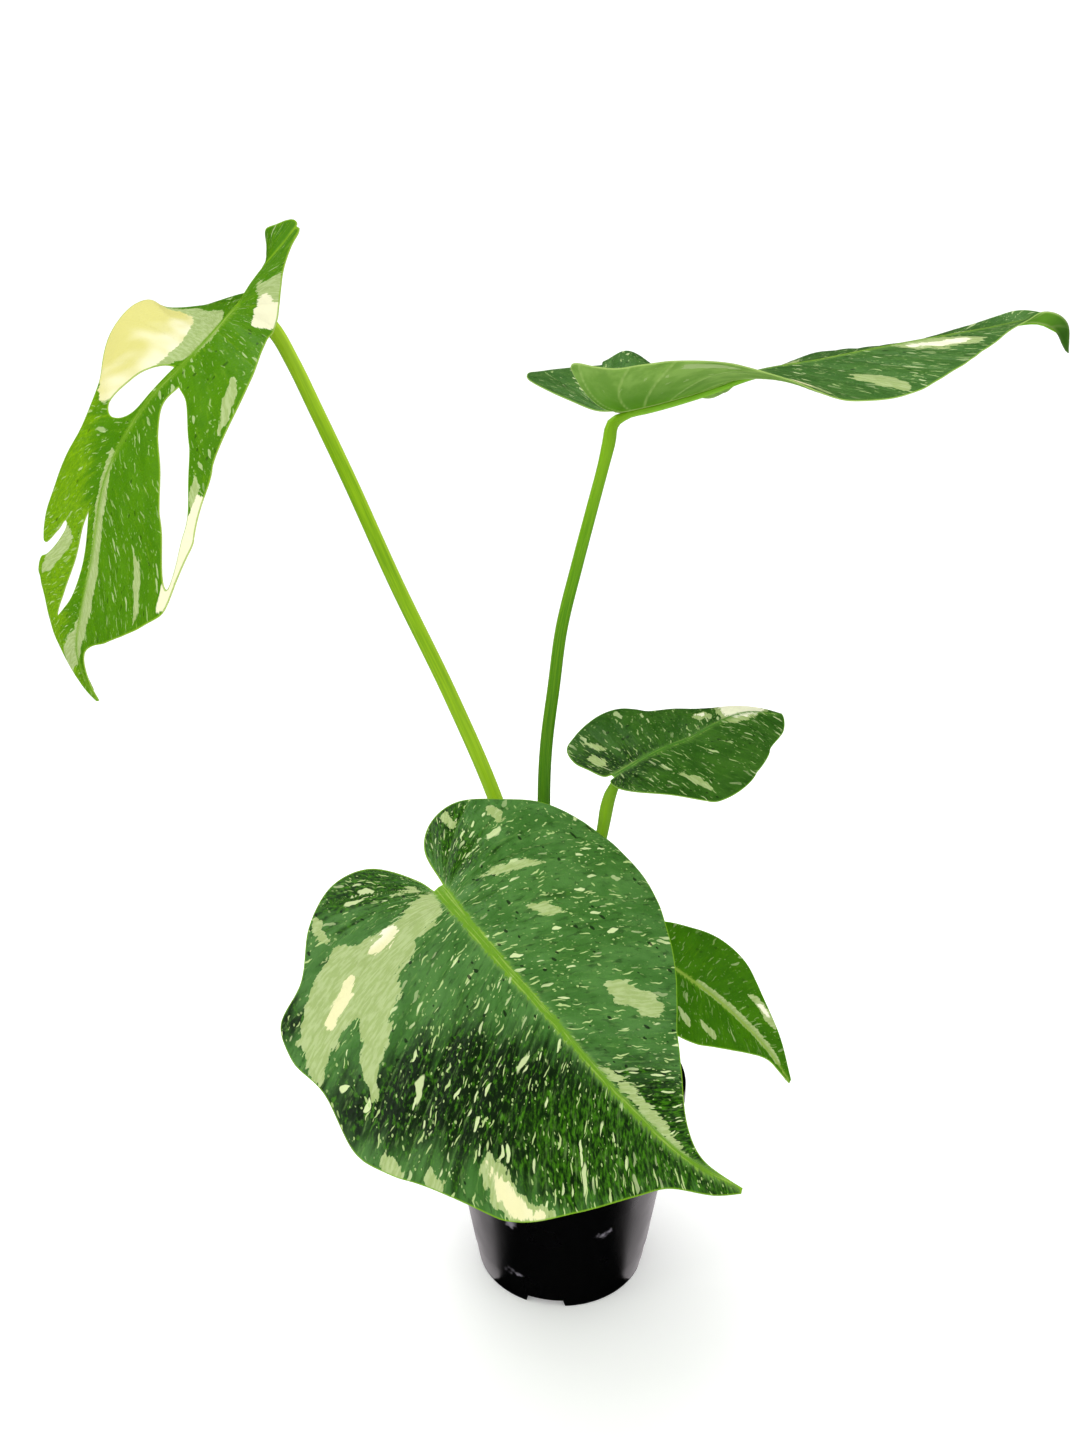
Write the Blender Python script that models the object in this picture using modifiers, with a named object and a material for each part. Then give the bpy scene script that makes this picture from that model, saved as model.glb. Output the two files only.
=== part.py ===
"""A small monstera with five cream-splashed leaves, standing in a round nursery pot.

The origin is the middle of the pot's foot, on the surface that it stands on. +Z is up and
-Y is the side that the big front leaf hangs over. Sizes are written in millimetres and turned
into metres where a mesh is made.
"""

import math

import bmesh
import bpy
import numpy as np
from mathutils import Vector
from mathutils.geometry import delaunay_2d_cdt

MM = 0.001
GAP = 0.3  # between pieces that touch

# Pot: a thin moulded tub with a rolled lip, a narrower foot and four drain notches
POT_HEIGHT = 90.0
POT_FOOT_RADIUS = 37.9  # where the wall would meet the ground without the step
POT_LIP_RADIUS = 54.4
POT_WALL = 1.4
LIP_DEPTH = 7.0
LIP_OVERHANG = 1.6
LIP_ROUNDING = 0.7
LIP_INNER_BEVEL = (0.3, 0.5)  # how far the inner edge leans in, and over what height
FOOT_STEP_HEIGHT = 12.0
FOOT_STEP = 0.35
FOOT_CHAMFER = 0.6
POT_FLOOR = 1.8
POT_SIDES = 48
NOTCH_COUNT = 4
NOTCH_WIDTH = 19.0
NOTCH_HEIGHT = 3.6
NOTCH_DEPTH = 9.0
NOTCH_TURN = math.radians(-101.0)
NOTCH_TOP_SHARE = 0.8  # a notch narrows upward
NOTCH_BEYOND = 2.0  # how far its cutter stands out of the foot

# Potting mix: fills the pot to below the lip, with a coarse lumpy top
MIX_TOP = 80.0
MIX_LUMP = 1.32
MIX_LUMP_SIZE = 11.0
MIX_FLATTEN = 0.9  # how soon the tops and the dips of the waves flatten out
# The waves that cross there: turns along X and along Y, where each begins, and its height
MIX_WAVES = ((5.1, 1.7, 0.0, 1.0), (-2.3, 4.9, 1.3, 1.0), (7.9, -6.1, 0.4, 0.8), (3.3, 9.7, 2.1, 0.6))
MIX_RINGS = 9
MIX_HOLE_CLEARANCE = 0.4

# Stem: short, upright, ringed where old leaves fell
STEM_FOOT = (0.0, 2.0, 46.0)
STEM_TOP = (-1.0, 2.0, 126.0)
STEM_RADIUS = 6.6
STEM_RING = 0.8
STEM_RING_SPACING = 13.0
STEM_RING_SPREAD = 2.2
STEM_DOME_FROM = 0.93  # of the height: where the top begins to round in
STEM_DOME_REACH = 0.072
STEM_DOME_LEAST = 0.14
STEM_SIDES = 20
STEM_STEPS = 24

# Blades
BLADE_THICKNESS = 0.7
BLADE_POINT_SPACING = 7.0
BLADE_POINT_CLEARANCE = 0.45  # of the spacing: how near an inner point may come to an edge
BLADE_STATIONS = 300
CURVE_STEPS = 24

# Stalks
STALK_POINT_SPACING = 8.0
STALK_SEAT = 0.25  # more than the gap, so that the facets of blade and rib stay clear too
RIB_REACH = 0.82  # how far the stalk runs on under the blade, as a share of its length
RIB_START = 5.0
RIB_STATIONS = 14
RIB_SHARE = 0.62  # the rib's radius where it starts, as a share of the stalk's
RIB_TIP_RADIUS = 0.45

# Each leaf, in millimetres. "midrib" runs from the stalk's joint to the tip in the pot's own
# axes, and "lobe_spine" carries it on behind the joint, between the two base lobes. "facing" is
# where the upper side looks at a share of the midrib's length. "right" and "left" give, at such
# shares, how far each half is folded up from flat and how far it curls on by its widest point,
# both in degrees. The outlines and holes are on the flat blade: across, then along the midrib.
# "stalk" runs from inside the stem to the joint, and "stalk_radii" are at its two ends.
LEAVES = (
    dict(
        name="upper_left",
        half_width=66.0,
        lobe_spine=[(-108, -23, 412), (-102, -25, 418), (-95, -28, 424), (-89, -30, 430)],
        midrib=[
            (-114, -21, 405),
            (-128, -24, 390),
            (-146, -26, 373),
            (-162, -28, 348),
            (-170, -28, 320),
            (-177, -26, 300),
            (-182, -22, 284),
            (-181, -18, 270),
            (-177, -16, 260),
        ],
        facing=[
            (-0.15, (-0.85, -0.42, 0.20)),
            (0.0, (-0.72, -0.48, 0.45)),
            (0.25, (-0.72, -0.62, 0.30)),
            (0.7, (-0.68, -0.70, 0.15)),
            (1.0, (-0.68, -0.70, 0.15)),
        ],
        right=[
            (-0.24, 22, 0), (-0.14, 18, 0), (-0.1, -20, 0), (-0.07, -48, 0), (-0.035, -38, 0),
            (0.0, -14, 0), (0.04, -3, 0), (0.1, 2, 0), (0.18, 2, 0), (0.28, 3, 0), (0.6, 5, 0), (1, 5, 0),
        ],
        left=[
            (-0.24, -28, 0), (-0.08, -28, 0), (0, -26, 0), (0.06, -20, 0), (0.15, -12, 0), (0.3, -9, 0),
            (0.5, -4, 0), (0.7, 0, 0), (1, 0, 0),
        ],
        outline_right=[
            (0.25, 0), (0.25, -14), (0.25, -30), (0.3, -36), (2.5, -36), (5, -33.5), (7.2, -29.5),
            (10.2, -23.5), (12.2, -18), (9, -13.5), (5, -10), (13, -6), (25, -3), (34, 0), (41, 5),
            (58, 19), (61, 30), (53, 42), (36, 53), (30, 67), (34, 85), (37, 99), (36, 108), (33.5, 112.5),
            (27.5, 105), (22.5, 97), (21, 98), (24, 106.5), (30.5, 116.5), (34, 119.5), (34, 125),
            (23, 139), (14, 147), (8, 155), (3, 162), (0, 168),
        ],
        outline_left=[
            (-0.25, 0), (-0.25, -14), (-0.25, -30), (-0.8, -36), (-2.2, -35), (-3.2, -30), (-5.5, -25),
            (-10, -19.5), (-14.5, -14.5), (-18.5, -10), (-20.5, -5), (-20.5, -1), (-24, 6), (-32, 16),
            (-41, 28), (-48, 42), (-57, 67), (-62, 83), (-58, 97), (-55, 104), (-44, 112), (-24, 126),
            (-13, 133), (-7, 140), (-3, 153), (0, 168),
        ],
        holes=[
            [(-7, 33), (-7, 41), (-14, 50), (-28, 62), (-42, 82), (-50, 99), (-54, 100), (-56, 89),
             (-53, 71), (-42, 56), (-30, 43), (-16, 34)],
            [(3, 30), (10, 34), (18, 43), (22, 55), (17, 58), (9, 56), (4, 51), (2.5, 41)],
            [(7, 89), (6, 99), (5.5, 112), (8, 124), (16, 137), (14, 126), (11, 111), (10, 97)],
        ],
        stalk=[
            (-3, 1, 104), (-8, -1, 126), (-11, -1, 150), (-17, -1, 182), (-28, 0, 219), (-45, -3, 263),
            (-64, -7, 307), (-79, -11, 345), (-90, -13, 371), (-97, -14, 387), (-103, -15, 398),
            (-110, -18, 404),
        ],
        stalk_radii=(3.4, 2.6),
    ),
    dict(
        name="upper_right",
        half_width=65.0,
        lobe_spine=[(11, -5, 370), (0, -4.3, 373), (-14, -3.6, 377), (-28, -3, 382)],
        midrib=[
            (18, -5.3, 370),
            (33, -5.7, 373),
            (51, -5.8, 378),
            (69, -5, 384),
            (92, -3, 388),
            (118, 0, 393),
            (141, 2, 397),
            (153, 3, 399),
            (164, 3, 401),
            (172, 3, 402),
            (180, 2, 399),
            (184, 0, 391),
        ],
        facing=[(0.0, (-0.15, -0.05, 1.0)), (0.5, (-0.2, 0.0, 1.0)), (1.0, (0.5, -0.2, 0.8))],
        right=[
            (-0.2, 21, 0), (-0.1, 19, 0), (0, 14, 3), (0.1, 11, 3), (0.19, 7, 0), (0.27, -3, 0),
            (0.35, -12, -2), (0.45, -17, -3), (0.6, -17, -3), (0.72, -11, 0), (0.84, 5, 0), (0.93, 40, 0),
            (1, 40, 0),
        ],
        left=[
            (-0.2, 8, 0), (0, 16, 0), (0.08, 18, 0), (0.18, 3, 0), (0.26, -6, 0), (0.36, -2, 0),
            (0.5, 3, 0), (0.8, 2, 0), (0.9, 25, 0), (1, 40, 0),
        ],
        outline_right=[
            (1, 0), (5, -3), (15, -8), (32, -15), (47, -18), (58, -8), (64, 18), (61, 50), (52, 80),
            (38, 108), (24, 128), (13, 144), (8, 156), (5, 168), (0, 177),
        ],
        outline_left=[
            (-1, 0), (-2, -8), (-9, -24), (-24, -36), (-42, -35), (-56, -22), (-62, -7), (-63, 6), (-64, 20),
            (-61, 50), (-52, 80), (-38, 108), (-24, 128), (-13, 144), (-8, 156), (-5, 168), (0, 177),
        ],
        holes=[],
        stalk=[
            (-2, 4, 106), (-4, 9, 128), (-5, 9, 150), (-7, 7, 182), (-8, 6, 216), (-7, 6, 239),
            (-4, 5, 264), (-1, 3, 288), (5, 0, 314), (10, -2, 334), (14, -4, 350), (16, -5, 359),
            (17.5, -5, 366),
        ],
        stalk_radii=(3.2, 2.2),
    ),
    dict(
        name="middle_right",
        half_width=34.0,
        lobe_spine=[],
        midrib=[(20, -5, 229), (39, 7, 236), (53, 15, 239), (64, 22, 243), (78, 30, 246), (92, 36, 244)],
        facing=[(0.0, (0.0, -0.50, 0.85)), (1.0, (0.2, -0.40, 0.93))],
        right=[(-0.2, 22, 0), (0, 20, 0), (0.3, 4, -10), (0.6, -2, -12), (1, -5, -15)],
        left=[(-0.2, 0, 0), (0, 0, -8), (0.4, -7, -14), (0.6, -15, -18), (0.8, -26, -20), (1, -20, -20)],
        outline_right=[
            (1, 0), (2, -3), (9, -4), (18, 0), (26, 8), (31, 18), (33, 32), (30, 48), (25, 63), (19, 76),
            (11, 85), (4, 89), (0, 90),
        ],
        outline_left=[
            (-1, 0), (-2, -3), (-9, -6), (-15, -8), (-23, -6), (-28, 2), (-32, 12), (-35, 26), (-31, 42),
            (-25, 56), (-18, 70), (-8, 84), (0, 90),
        ],
        holes=[],
        stalk=[(2, 1, 104), (8, 0, 126), (9, -1, 152), (12, -3, 182), (16, -4, 205), (19, -4, 221)],
        stalk_radii=(3.1, 2.3),
    ),
    dict(
        name="front",
        half_width=80.0,
        lobe_spine=[],
        midrib=[
            (-44, -72, 210),
            (-23, -91, 193),
            (-3, -107, 177),
            (16, -120, 160),
            (36, -130, 145),
            (55, -134, 136),
        ],
        facing=[(0.0, (-0.15, -0.70, 0.70)), (1.0, (0.05, -0.70, 0.70))],
        right=[(-0.3, -15, -10), (0, -12, -10), (1, -5, -5)],
        left=[(-0.3, -25, -25), (0, -25, -20), (1, -10, -5)],
        outline_right=[
            (2, -1), (4, -8), (15, -25), (30, -31), (46, -26), (60, -13), (76, -7), (79, 6), (75, 24),
            (77, 45), (72, 58), (58, 82), (48, 96), (34, 105), (18, 114), (10, 120), (5, 133), (0, 142),
        ],
        outline_left=[
            (-2, -1), (-5, -16), (-14, -25), (-30, -29), (-48, -23), (-67, -14), (-78, 8), (-78, 24),
            (-73, 42), (-62, 60), (-42, 82), (-22, 102), (-9, 115), (-3, 124), (-1, 132), (0, 142),
        ],
        holes=[],
        stalk=[(-3, -1, 94), (-9, -12, 116), (-19, -28, 148), (-32, -47, 180), (-41, -60, 198)],
        stalk_radii=(3.2, 2.5),
    ),
    dict(
        name="lower_right",
        half_width=30.0,
        lobe_spine=[],
        midrib=[
            (33, -23, 162), (44, -26, 155), (61, -29, 143), (72, -31, 133), (82, -32, 122), (94, -32, 104),
        ],
        facing=[(0.0, (0.3, -0.45, 0.85)), (1.0, (0.6, -0.45, 0.65))],
        right=[(-0.2, 6, 0), (1, 9, 0)],
        left=[(-0.2, 10, 0), (1, 10, 0)],
        outline_right=[
            (1, 0), (2, -3), (9, -6), (19, -4), (27, 5), (31, 18), (29, 31), (23, 41), (12, 55), (4, 67),
            (2, 76), (0, 86),
        ],
        outline_left=[
            (-1, 0), (-2, -3), (-8, -5), (-15, 0), (-21, 12), (-25, 26), (-24, 38), (-20, 47),
            (-14, 59), (-9, 70), (-4, 79), (0, 86),
        ],
        holes=[],
        stalk=[(1, 1, 92), (8, -5, 112), (17, -11, 132), (26, -17, 149), (30, -20, 157)],
        stalk_radii=(2.7, 1.9),
    ),
)


def clear_scene():
    """Removes whatever the file opened with."""
    for thing in list(bpy.data.objects):
        bpy.data.objects.remove(thing)


def new_collection(name):
    made = bpy.data.collections.new(name)
    bpy.context.scene.collection.children.link(made)
    return made


def finish(name, colour, roughness):
    """A Principled material in one colour."""
    made = bpy.data.materials.new(name)
    made.use_nodes = True
    shader = made.node_tree.nodes["Principled BSDF"]
    shader.inputs["Base Color"].default_value = (*colour, 1.0)
    shader.inputs["Roughness"].default_value = roughness
    shader.inputs["Metallic"].default_value = 0.0
    return made


def new_object(name, mesh, collection, material=None):
    made = bpy.data.objects.new(name, mesh)
    collection.objects.link(made)
    if material is not None:
        made.data.materials.append(material)
    return made


def mesh_from(points, faces, name):
    mesh = bpy.data.meshes.new(name)
    mesh.from_pydata([Vector(p) * MM for p in points], [], faces)
    mesh.update()
    return mesh


def hide_cutter(cutter):
    cutter.hide_render = True
    cutter.display_type = "WIRE"


def cut(target, cutter):
    """Takes the cutter's shape out of the target."""
    modifier = target.modifiers.new("cut by " + cutter.name, "BOOLEAN")
    modifier.operation = "DIFFERENCE"
    modifier.solver = "EXACT"
    modifier.object = cutter


def unit(v):
    v = np.asarray(v, float)
    return v / np.linalg.norm(v, axis=-1, keepdims=True)


def smooth_through(points, steps):
    """A centripetal Catmull-Rom curve through the points, with `steps` points to a span."""
    given = np.asarray(points, float)
    ends = 2 * given[0] - given[1], 2 * given[-1] - given[-2]
    padded = np.vstack([ends[0], given, ends[1]])
    curve = []
    for a, b, c, d in zip(padded, padded[1:], padded[2:], padded[3:]):
        t1 = math.sqrt(np.linalg.norm(b - a))
        t2 = t1 + math.sqrt(np.linalg.norm(c - b))
        t3 = t2 + math.sqrt(np.linalg.norm(d - c))
        t = np.linspace(t1, t2, steps, endpoint=False)[:, None]
        ab = (t1 - t) / t1 * a + t / t1 * b
        bc = (t2 - t) / (t2 - t1) * b + (t - t1) / (t2 - t1) * c
        cd = (t3 - t) / (t3 - t2) * c + (t - t2) / (t3 - t2) * d
        abc = (t2 - t) / t2 * ab + t / t2 * bc
        bcd = (t3 - t) / (t3 - t1) * bc + (t - t1) / (t3 - t1) * cd
        curve.append((t2 - t) / (t2 - t1) * abc + (t - t1) / (t2 - t1) * bcd)
    curve.append(given[-1:])
    return np.vstack(curve)


def eased(where, stations, values):
    """The values between the stations, on one smooth curve."""
    where = np.asarray(where, float)
    stations = np.asarray(stations, float)
    values = np.asarray(values, float)
    slopes = np.gradient(values, stations, axis=0)
    i = np.clip(np.searchsorted(stations, where) - 1, 0, len(stations) - 2)
    span = stations[i + 1] - stations[i]
    t = np.clip((where - stations[i]) / span, 0, 1)
    if values.ndim > 1:
        t, span = t[..., None], span[..., None]
    start = (2 * t**3 - 3 * t**2 + 1) * values[i] + (t**3 - 2 * t**2 + t) * span * slopes[i]
    end = (3 * t**2 - 2 * t**3) * values[i + 1] + (t**3 - t**2) * span * slopes[i + 1]
    return start + end


class Blade:
    """One leaf's blade: its flat outline, and how the flat blade is bent in space."""

    def __init__(self, leaf):
        self.leaf = leaf
        behind = list(leaf["lobe_spine"])[::-1]
        spine = smooth_through(behind + list(leaf["midrib"]), CURVE_STEPS)
        steps = np.linalg.norm(np.diff(spine, axis=0), axis=1)
        along = np.concatenate([[0.0], np.cumsum(steps)])
        along -= along[len(behind) * CURVE_STEPS]
        self.start = along[0]
        self.length = along[-1]
        self.along = np.linspace(self.start, self.length, BLADE_STATIONS)
        self.spine = np.stack([np.interp(self.along, along, spine[:, k]) for k in range(3)], -1)
        self.tangent = unit(np.gradient(self.spine, self.along, axis=0))
        shares = [share for share, _ in leaf["facing"]]
        facing = eased(self.along / self.length, shares, [unit(look) for _, look in leaf["facing"]])
        lean = (facing * self.tangent).sum(-1, keepdims=True)
        self.normal = unit(facing - lean * self.tangent)
        self.across = np.cross(self.tangent, self.normal)

    def read(self, along, table):
        return np.stack([np.interp(along, self.along, table[:, k]) for k in range(3)], -1)

    def fold(self, side, along):
        """How far a half is folded up from flat, in radians."""
        shares, folds, _ = zip(*self.leaf[side])
        return np.radians(eased(along / self.length, shares, folds))

    def place(self, across, along):
        """Where points of the flat blade lie in space."""
        across = np.asarray(across, float)
        along = np.asarray(along, float)
        width = self.leaf["half_width"]
        beyond = np.minimum(along - self.start, 0) + np.maximum(along - self.length, 0)
        middle = self.read(along, self.spine) + beyond[..., None] * self.read(along, self.tangent)
        out = np.zeros_like(along)
        up = np.zeros_like(along)
        reach = np.abs(across)
        for side, sign in (("right", 1), ("left", -1)):
            fold = self.fold(side, along)
            shares, _, curls = zip(*self.leaf[side])
            curl = np.radians(eased(along / self.length, shares, curls)) / width
            curl = np.where(np.abs(curl) < 1e-6, 1e-6, curl)
            mine = across >= 0 if sign > 0 else across < 0
            out = np.where(mine, sign * (np.sin(fold + curl * reach) - np.sin(fold)) / curl, out)
            up = np.where(mine, (np.cos(fold) - np.cos(fold + curl * reach)) / curl, up)
        side_ways = self.read(along, self.across) * out[..., None]
        return middle + side_ways + self.read(along, self.normal) * up[..., None]

    def loops(self):
        """The closed outline, then each hole, as flat points."""
        right = smooth_through(self.leaf["outline_right"], 3)
        left = smooth_through(self.leaf["outline_left"], 3)
        loops = [np.vstack([right, left[-2::-1]])]
        for hole in self.leaf["holes"]:
            loops.append(smooth_through(hole + hole[:1], 2)[:-1])
        return loops


def crossings(points, loop):
    """For each point, whether it lies inside the loop."""
    inside = np.zeros(len(points), bool)
    for a, b in zip(loop, np.roll(loop, -1, axis=0)):
        spans = (a[1] > points[:, 1]) != (b[1] > points[:, 1])
        rise = b[1] - a[1] if b[1] != a[1] else 1.0
        inside ^= spans & (points[:, 0] < a[0] + (b[0] - a[0]) * (points[:, 1] - a[1]) / rise)
    return inside


def far_from(points, loops, distance):
    """The points that lie at least that far from every outline's points and edges."""
    keep = np.ones(len(points), bool)
    for loop in loops:
        for a, b in zip(loop, np.roll(loop, -1, axis=0)):
            edge = b - a
            share = np.clip(((points - a) @ edge) / max(edge @ edge, 1e-9), 0, 1)
            gap = np.linalg.norm(points - (a + share[:, None] * edge), axis=1)
            keep &= gap > distance
    return points[keep]


def inner_points(loops, spacing):
    """A honeycomb of points inside the outline and outside the holes, with a row on the midrib."""
    low, high = loops[0].min(axis=0), loops[0].max(axis=0)
    rows = []
    row_step = spacing * math.sqrt(3) / 2
    count = math.ceil(max(-low[0], high[0]) / row_step)
    for row in range(-count, count + 1):
        start = low[1] + (row % 2) * spacing / 2
        along = np.arange(start, high[1], spacing)
        rows.append(np.stack([np.full_like(along, row * row_step), along], -1))
    points = np.vstack(rows)
    inside = crossings(points, loops[0])
    for hole in loops[1:]:
        inside &= ~crossings(points, hole)
    return far_from(points[inside], loops, spacing * BLADE_POINT_CLEARANCE)


def flat_triangles(blade, spacing):
    """Splits the flat blade into triangles that follow its outline and holes."""
    loops = blade.loops()
    points = []
    edges = []
    for loop in loops:
        first = len(points)
        points += [tuple(p) for p in loop]
        edges += [(first + i, first + (i + 1) % len(loop)) for i in range(len(loop))]
    points += [tuple(p) for p in inner_points(loops, spacing)]
    found, _, faces, *_ = delaunay_2d_cdt([Vector(p) for p in points], edges, [], 0, 1e-4)
    flat = np.array([(p.x, p.y) for p in found])
    corners = np.array(faces)
    middles = flat[corners].mean(axis=1)
    keep = crossings(middles, loops[0])
    for hole in loops[1:]:
        keep &= ~crossings(middles, hole)
    return flat, corners[keep]


def make_blade(leaf, blade, parts, material):
    flat, corners = flat_triangles(blade, BLADE_POINT_SPACING)
    name = "blade_" + leaf["name"]
    mesh = mesh_from(blade.place(flat[:, 0], flat[:, 1]), corners.tolist(), name)
    made = new_object(name, mesh, parts, material)
    wall = made.modifiers.new("thickness", "SOLIDIFY")
    wall.thickness = BLADE_THICKNESS * MM
    wall.offset = 0.0
    made.data.shade_smooth()
    return made


def stalk_route(leaf, blade):
    """The stalk's middle line, and on under the blade as its rib, with a radius at each point."""
    foot_radius, joint_radius = leaf["stalk_radii"]
    rib_end = blade.length * RIB_REACH
    rib_along = np.linspace(RIB_START, rib_end, RIB_STATIONS)
    rib_radius = np.linspace(joint_radius * RIB_SHARE, RIB_TIP_RADIUS, RIB_STATIONS)
    droop = np.minimum(blade.fold("right", rib_along), blade.fold("left", rib_along))
    seat = (rib_radius + BLADE_THICKNESS / 2 + GAP + STALK_SEAT) / np.cos(np.minimum(droop, 0.0))
    rib = blade.read(rib_along, blade.spine) - blade.read(rib_along, blade.normal) * seat[:, None]
    guide = np.vstack([leaf["stalk"], rib])
    route = smooth_through(guide, 6)
    lengths = np.concatenate([[0.0], np.cumsum(np.linalg.norm(np.diff(guide, axis=0), axis=1))])
    guide_radius = np.concatenate(
        [np.interp(lengths[: len(leaf["stalk"])], [0.0, lengths[len(leaf["stalk"]) - 1]],
                   [foot_radius, joint_radius]), rib_radius]
    )
    travelled = np.concatenate([[0.0], np.cumsum(np.linalg.norm(np.diff(route, axis=0), axis=1))])
    guide_travel = travelled[::6]
    count = math.ceil(travelled[-1] / STALK_POINT_SPACING)
    stations = np.linspace(0, travelled[-1], count)
    points = np.stack([np.interp(stations, travelled, route[:, k]) for k in range(3)], -1)
    return points, np.interp(stations, guide_travel, guide_radius)


def make_stalk(leaf, blade, parts, material, stem_cutter):
    """A tapering tube, made a mesh so that the stem can be cut out of its foot."""
    points, radii = stalk_route(leaf, blade)
    name = "stalk_" + leaf["name"]
    curve = bpy.data.curves.new(name, "CURVE")
    curve.dimensions = "3D"
    curve.bevel_depth = 1.0 * MM
    curve.bevel_resolution = 2
    curve.use_fill_caps = True
    spline = curve.splines.new("POLY")
    spline.points.add(len(points) - 1)
    for slot, point, radius in zip(spline.points, points, radii):
        slot.co = (*(Vector(point) * MM), 1.0)
        slot.radius = radius
    drawn = new_object(name + "_line", curve, parts)
    bpy.context.view_layer.update()
    seen = drawn.evaluated_get(bpy.context.evaluated_depsgraph_get())
    mesh = bpy.data.meshes.new_from_object(seen)
    bpy.data.objects.remove(drawn)
    weld(mesh)
    made = new_object(name, mesh, parts, material)
    cut(made, stem_cutter)
    return made


def weld(mesh):
    shape = bmesh.new()
    shape.from_mesh(mesh)
    bmesh.ops.remove_doubles(shape, verts=shape.verts, dist=1e-6)
    bmesh.ops.recalc_face_normals(shape, faces=shape.faces)
    shape.to_mesh(mesh)
    shape.free()


def turned(name, profile, sides, collection, material=None):
    """A profile (radius, height) that starts and ends on the Z axis, turned round it."""
    points = [(r, 0.0, z) for r, z in profile]
    mesh = bpy.data.meshes.new(name)
    edges = [(i, i + 1) for i in range(len(points) - 1)]
    mesh.from_pydata([Vector(p) * MM for p in points], edges, [])
    made = new_object(name, mesh, collection, material)
    screw = made.modifiers.new("turn", "SCREW")
    screw.steps = sides
    screw.render_steps = sides
    screw.use_merge_vertices = True
    screw.merge_threshold = 0.00001
    return made


def pot_wall_radius(height):
    """The outer radius of the tapering wall."""
    top = POT_LIP_RADIUS - LIP_OVERHANG
    return POT_FOOT_RADIUS + (top - POT_FOOT_RADIUS) * height / POT_HEIGHT


def inside_radius(height):
    """The inner radius of the foot's wall."""
    return pot_wall_radius(height) - FOOT_STEP - POT_WALL


def make_pot(parts, cutters):
    black = finish("black_polypropylene", (0.012, 0.012, 0.014), 0.35)
    lip_foot = POT_HEIGHT - LIP_DEPTH
    lip_inside = POT_LIP_RADIUS - LIP_OVERHANG - POT_WALL
    step_foot = FOOT_STEP_HEIGHT - FOOT_STEP
    profile = [
        (0.0, POT_FLOOR),
        (inside_radius(POT_FLOOR), POT_FLOOR),
        (inside_radius(step_foot), step_foot),
        (lip_inside - LIP_INNER_BEVEL[0], POT_HEIGHT - LIP_INNER_BEVEL[1]),
        (lip_inside, POT_HEIGHT),
        (POT_LIP_RADIUS - LIP_ROUNDING, POT_HEIGHT),
        (POT_LIP_RADIUS, POT_HEIGHT - LIP_ROUNDING),
        (POT_LIP_RADIUS, lip_foot + LIP_ROUNDING),
        (POT_LIP_RADIUS - LIP_ROUNDING, lip_foot),
        (pot_wall_radius(lip_foot), lip_foot),
        (pot_wall_radius(FOOT_STEP_HEIGHT), FOOT_STEP_HEIGHT),
        (pot_wall_radius(step_foot) - FOOT_STEP, step_foot),
        (pot_wall_radius(FOOT_CHAMFER) - FOOT_STEP, FOOT_CHAMFER),
        (POT_FOOT_RADIUS - FOOT_STEP - FOOT_CHAMFER, 0.0),
        (0.0, 0.0),
    ]
    pot = turned("nursery_pot", profile, POT_SIDES, parts, black)
    for k in range(NOTCH_COUNT):
        turn = NOTCH_TURN + k * 2 * math.pi / NOTCH_COUNT
        shape = bmesh.new()
        bmesh.ops.create_cube(shape, size=1.0)
        size = Vector((NOTCH_DEPTH, NOTCH_WIDTH, 2 * NOTCH_HEIGHT)) * MM
        bmesh.ops.scale(shape, vec=size, verts=shape.verts)
        upper = [v for v in shape.verts if v.co.z > 0]
        bmesh.ops.scale(shape, vec=(1.0, NOTCH_TOP_SHARE, 1.0), verts=upper)
        mesh = bpy.data.meshes.new("notch")
        shape.to_mesh(mesh)
        shape.free()
        cutter = new_object("drain_notch_cutter_%d" % (k + 1), mesh, cutters)
        reach = POT_FOOT_RADIUS - NOTCH_DEPTH / 2 + NOTCH_BEYOND
        cutter.location = Vector((reach * math.cos(turn), reach * math.sin(turn), 0.0)) * MM
        cutter.rotation_euler = (0.0, 0.0, turn)
        hide_cutter(cutter)
        cut(pot, cutter)
    return pot


def stem_rings(grow):
    """The stem's cross-sections from its foot up: centre, radius. Old leaf scars are raised rings."""
    foot, top = np.array(STEM_FOOT), np.array(STEM_TOP)
    rings = []
    for step in range(STEM_STEPS + 1):
        share = step / STEM_STEPS
        height = share * (top[2] - foot[2])
        nearest = abs((height / STEM_RING_SPACING + 0.5) % 1.0 - 0.5) * STEM_RING_SPACING
        scar = STEM_RING * math.exp(-((nearest / STEM_RING_SPREAD) ** 2))
        rise = max(share - STEM_DOME_FROM, 0.0) / STEM_DOME_REACH
        dome = math.sqrt(max(1.0 - rise**2, STEM_DOME_LEAST**2))
        rings.append((foot + share * (top - foot), (STEM_RADIUS + scar) * dome + grow))
    return rings


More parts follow.
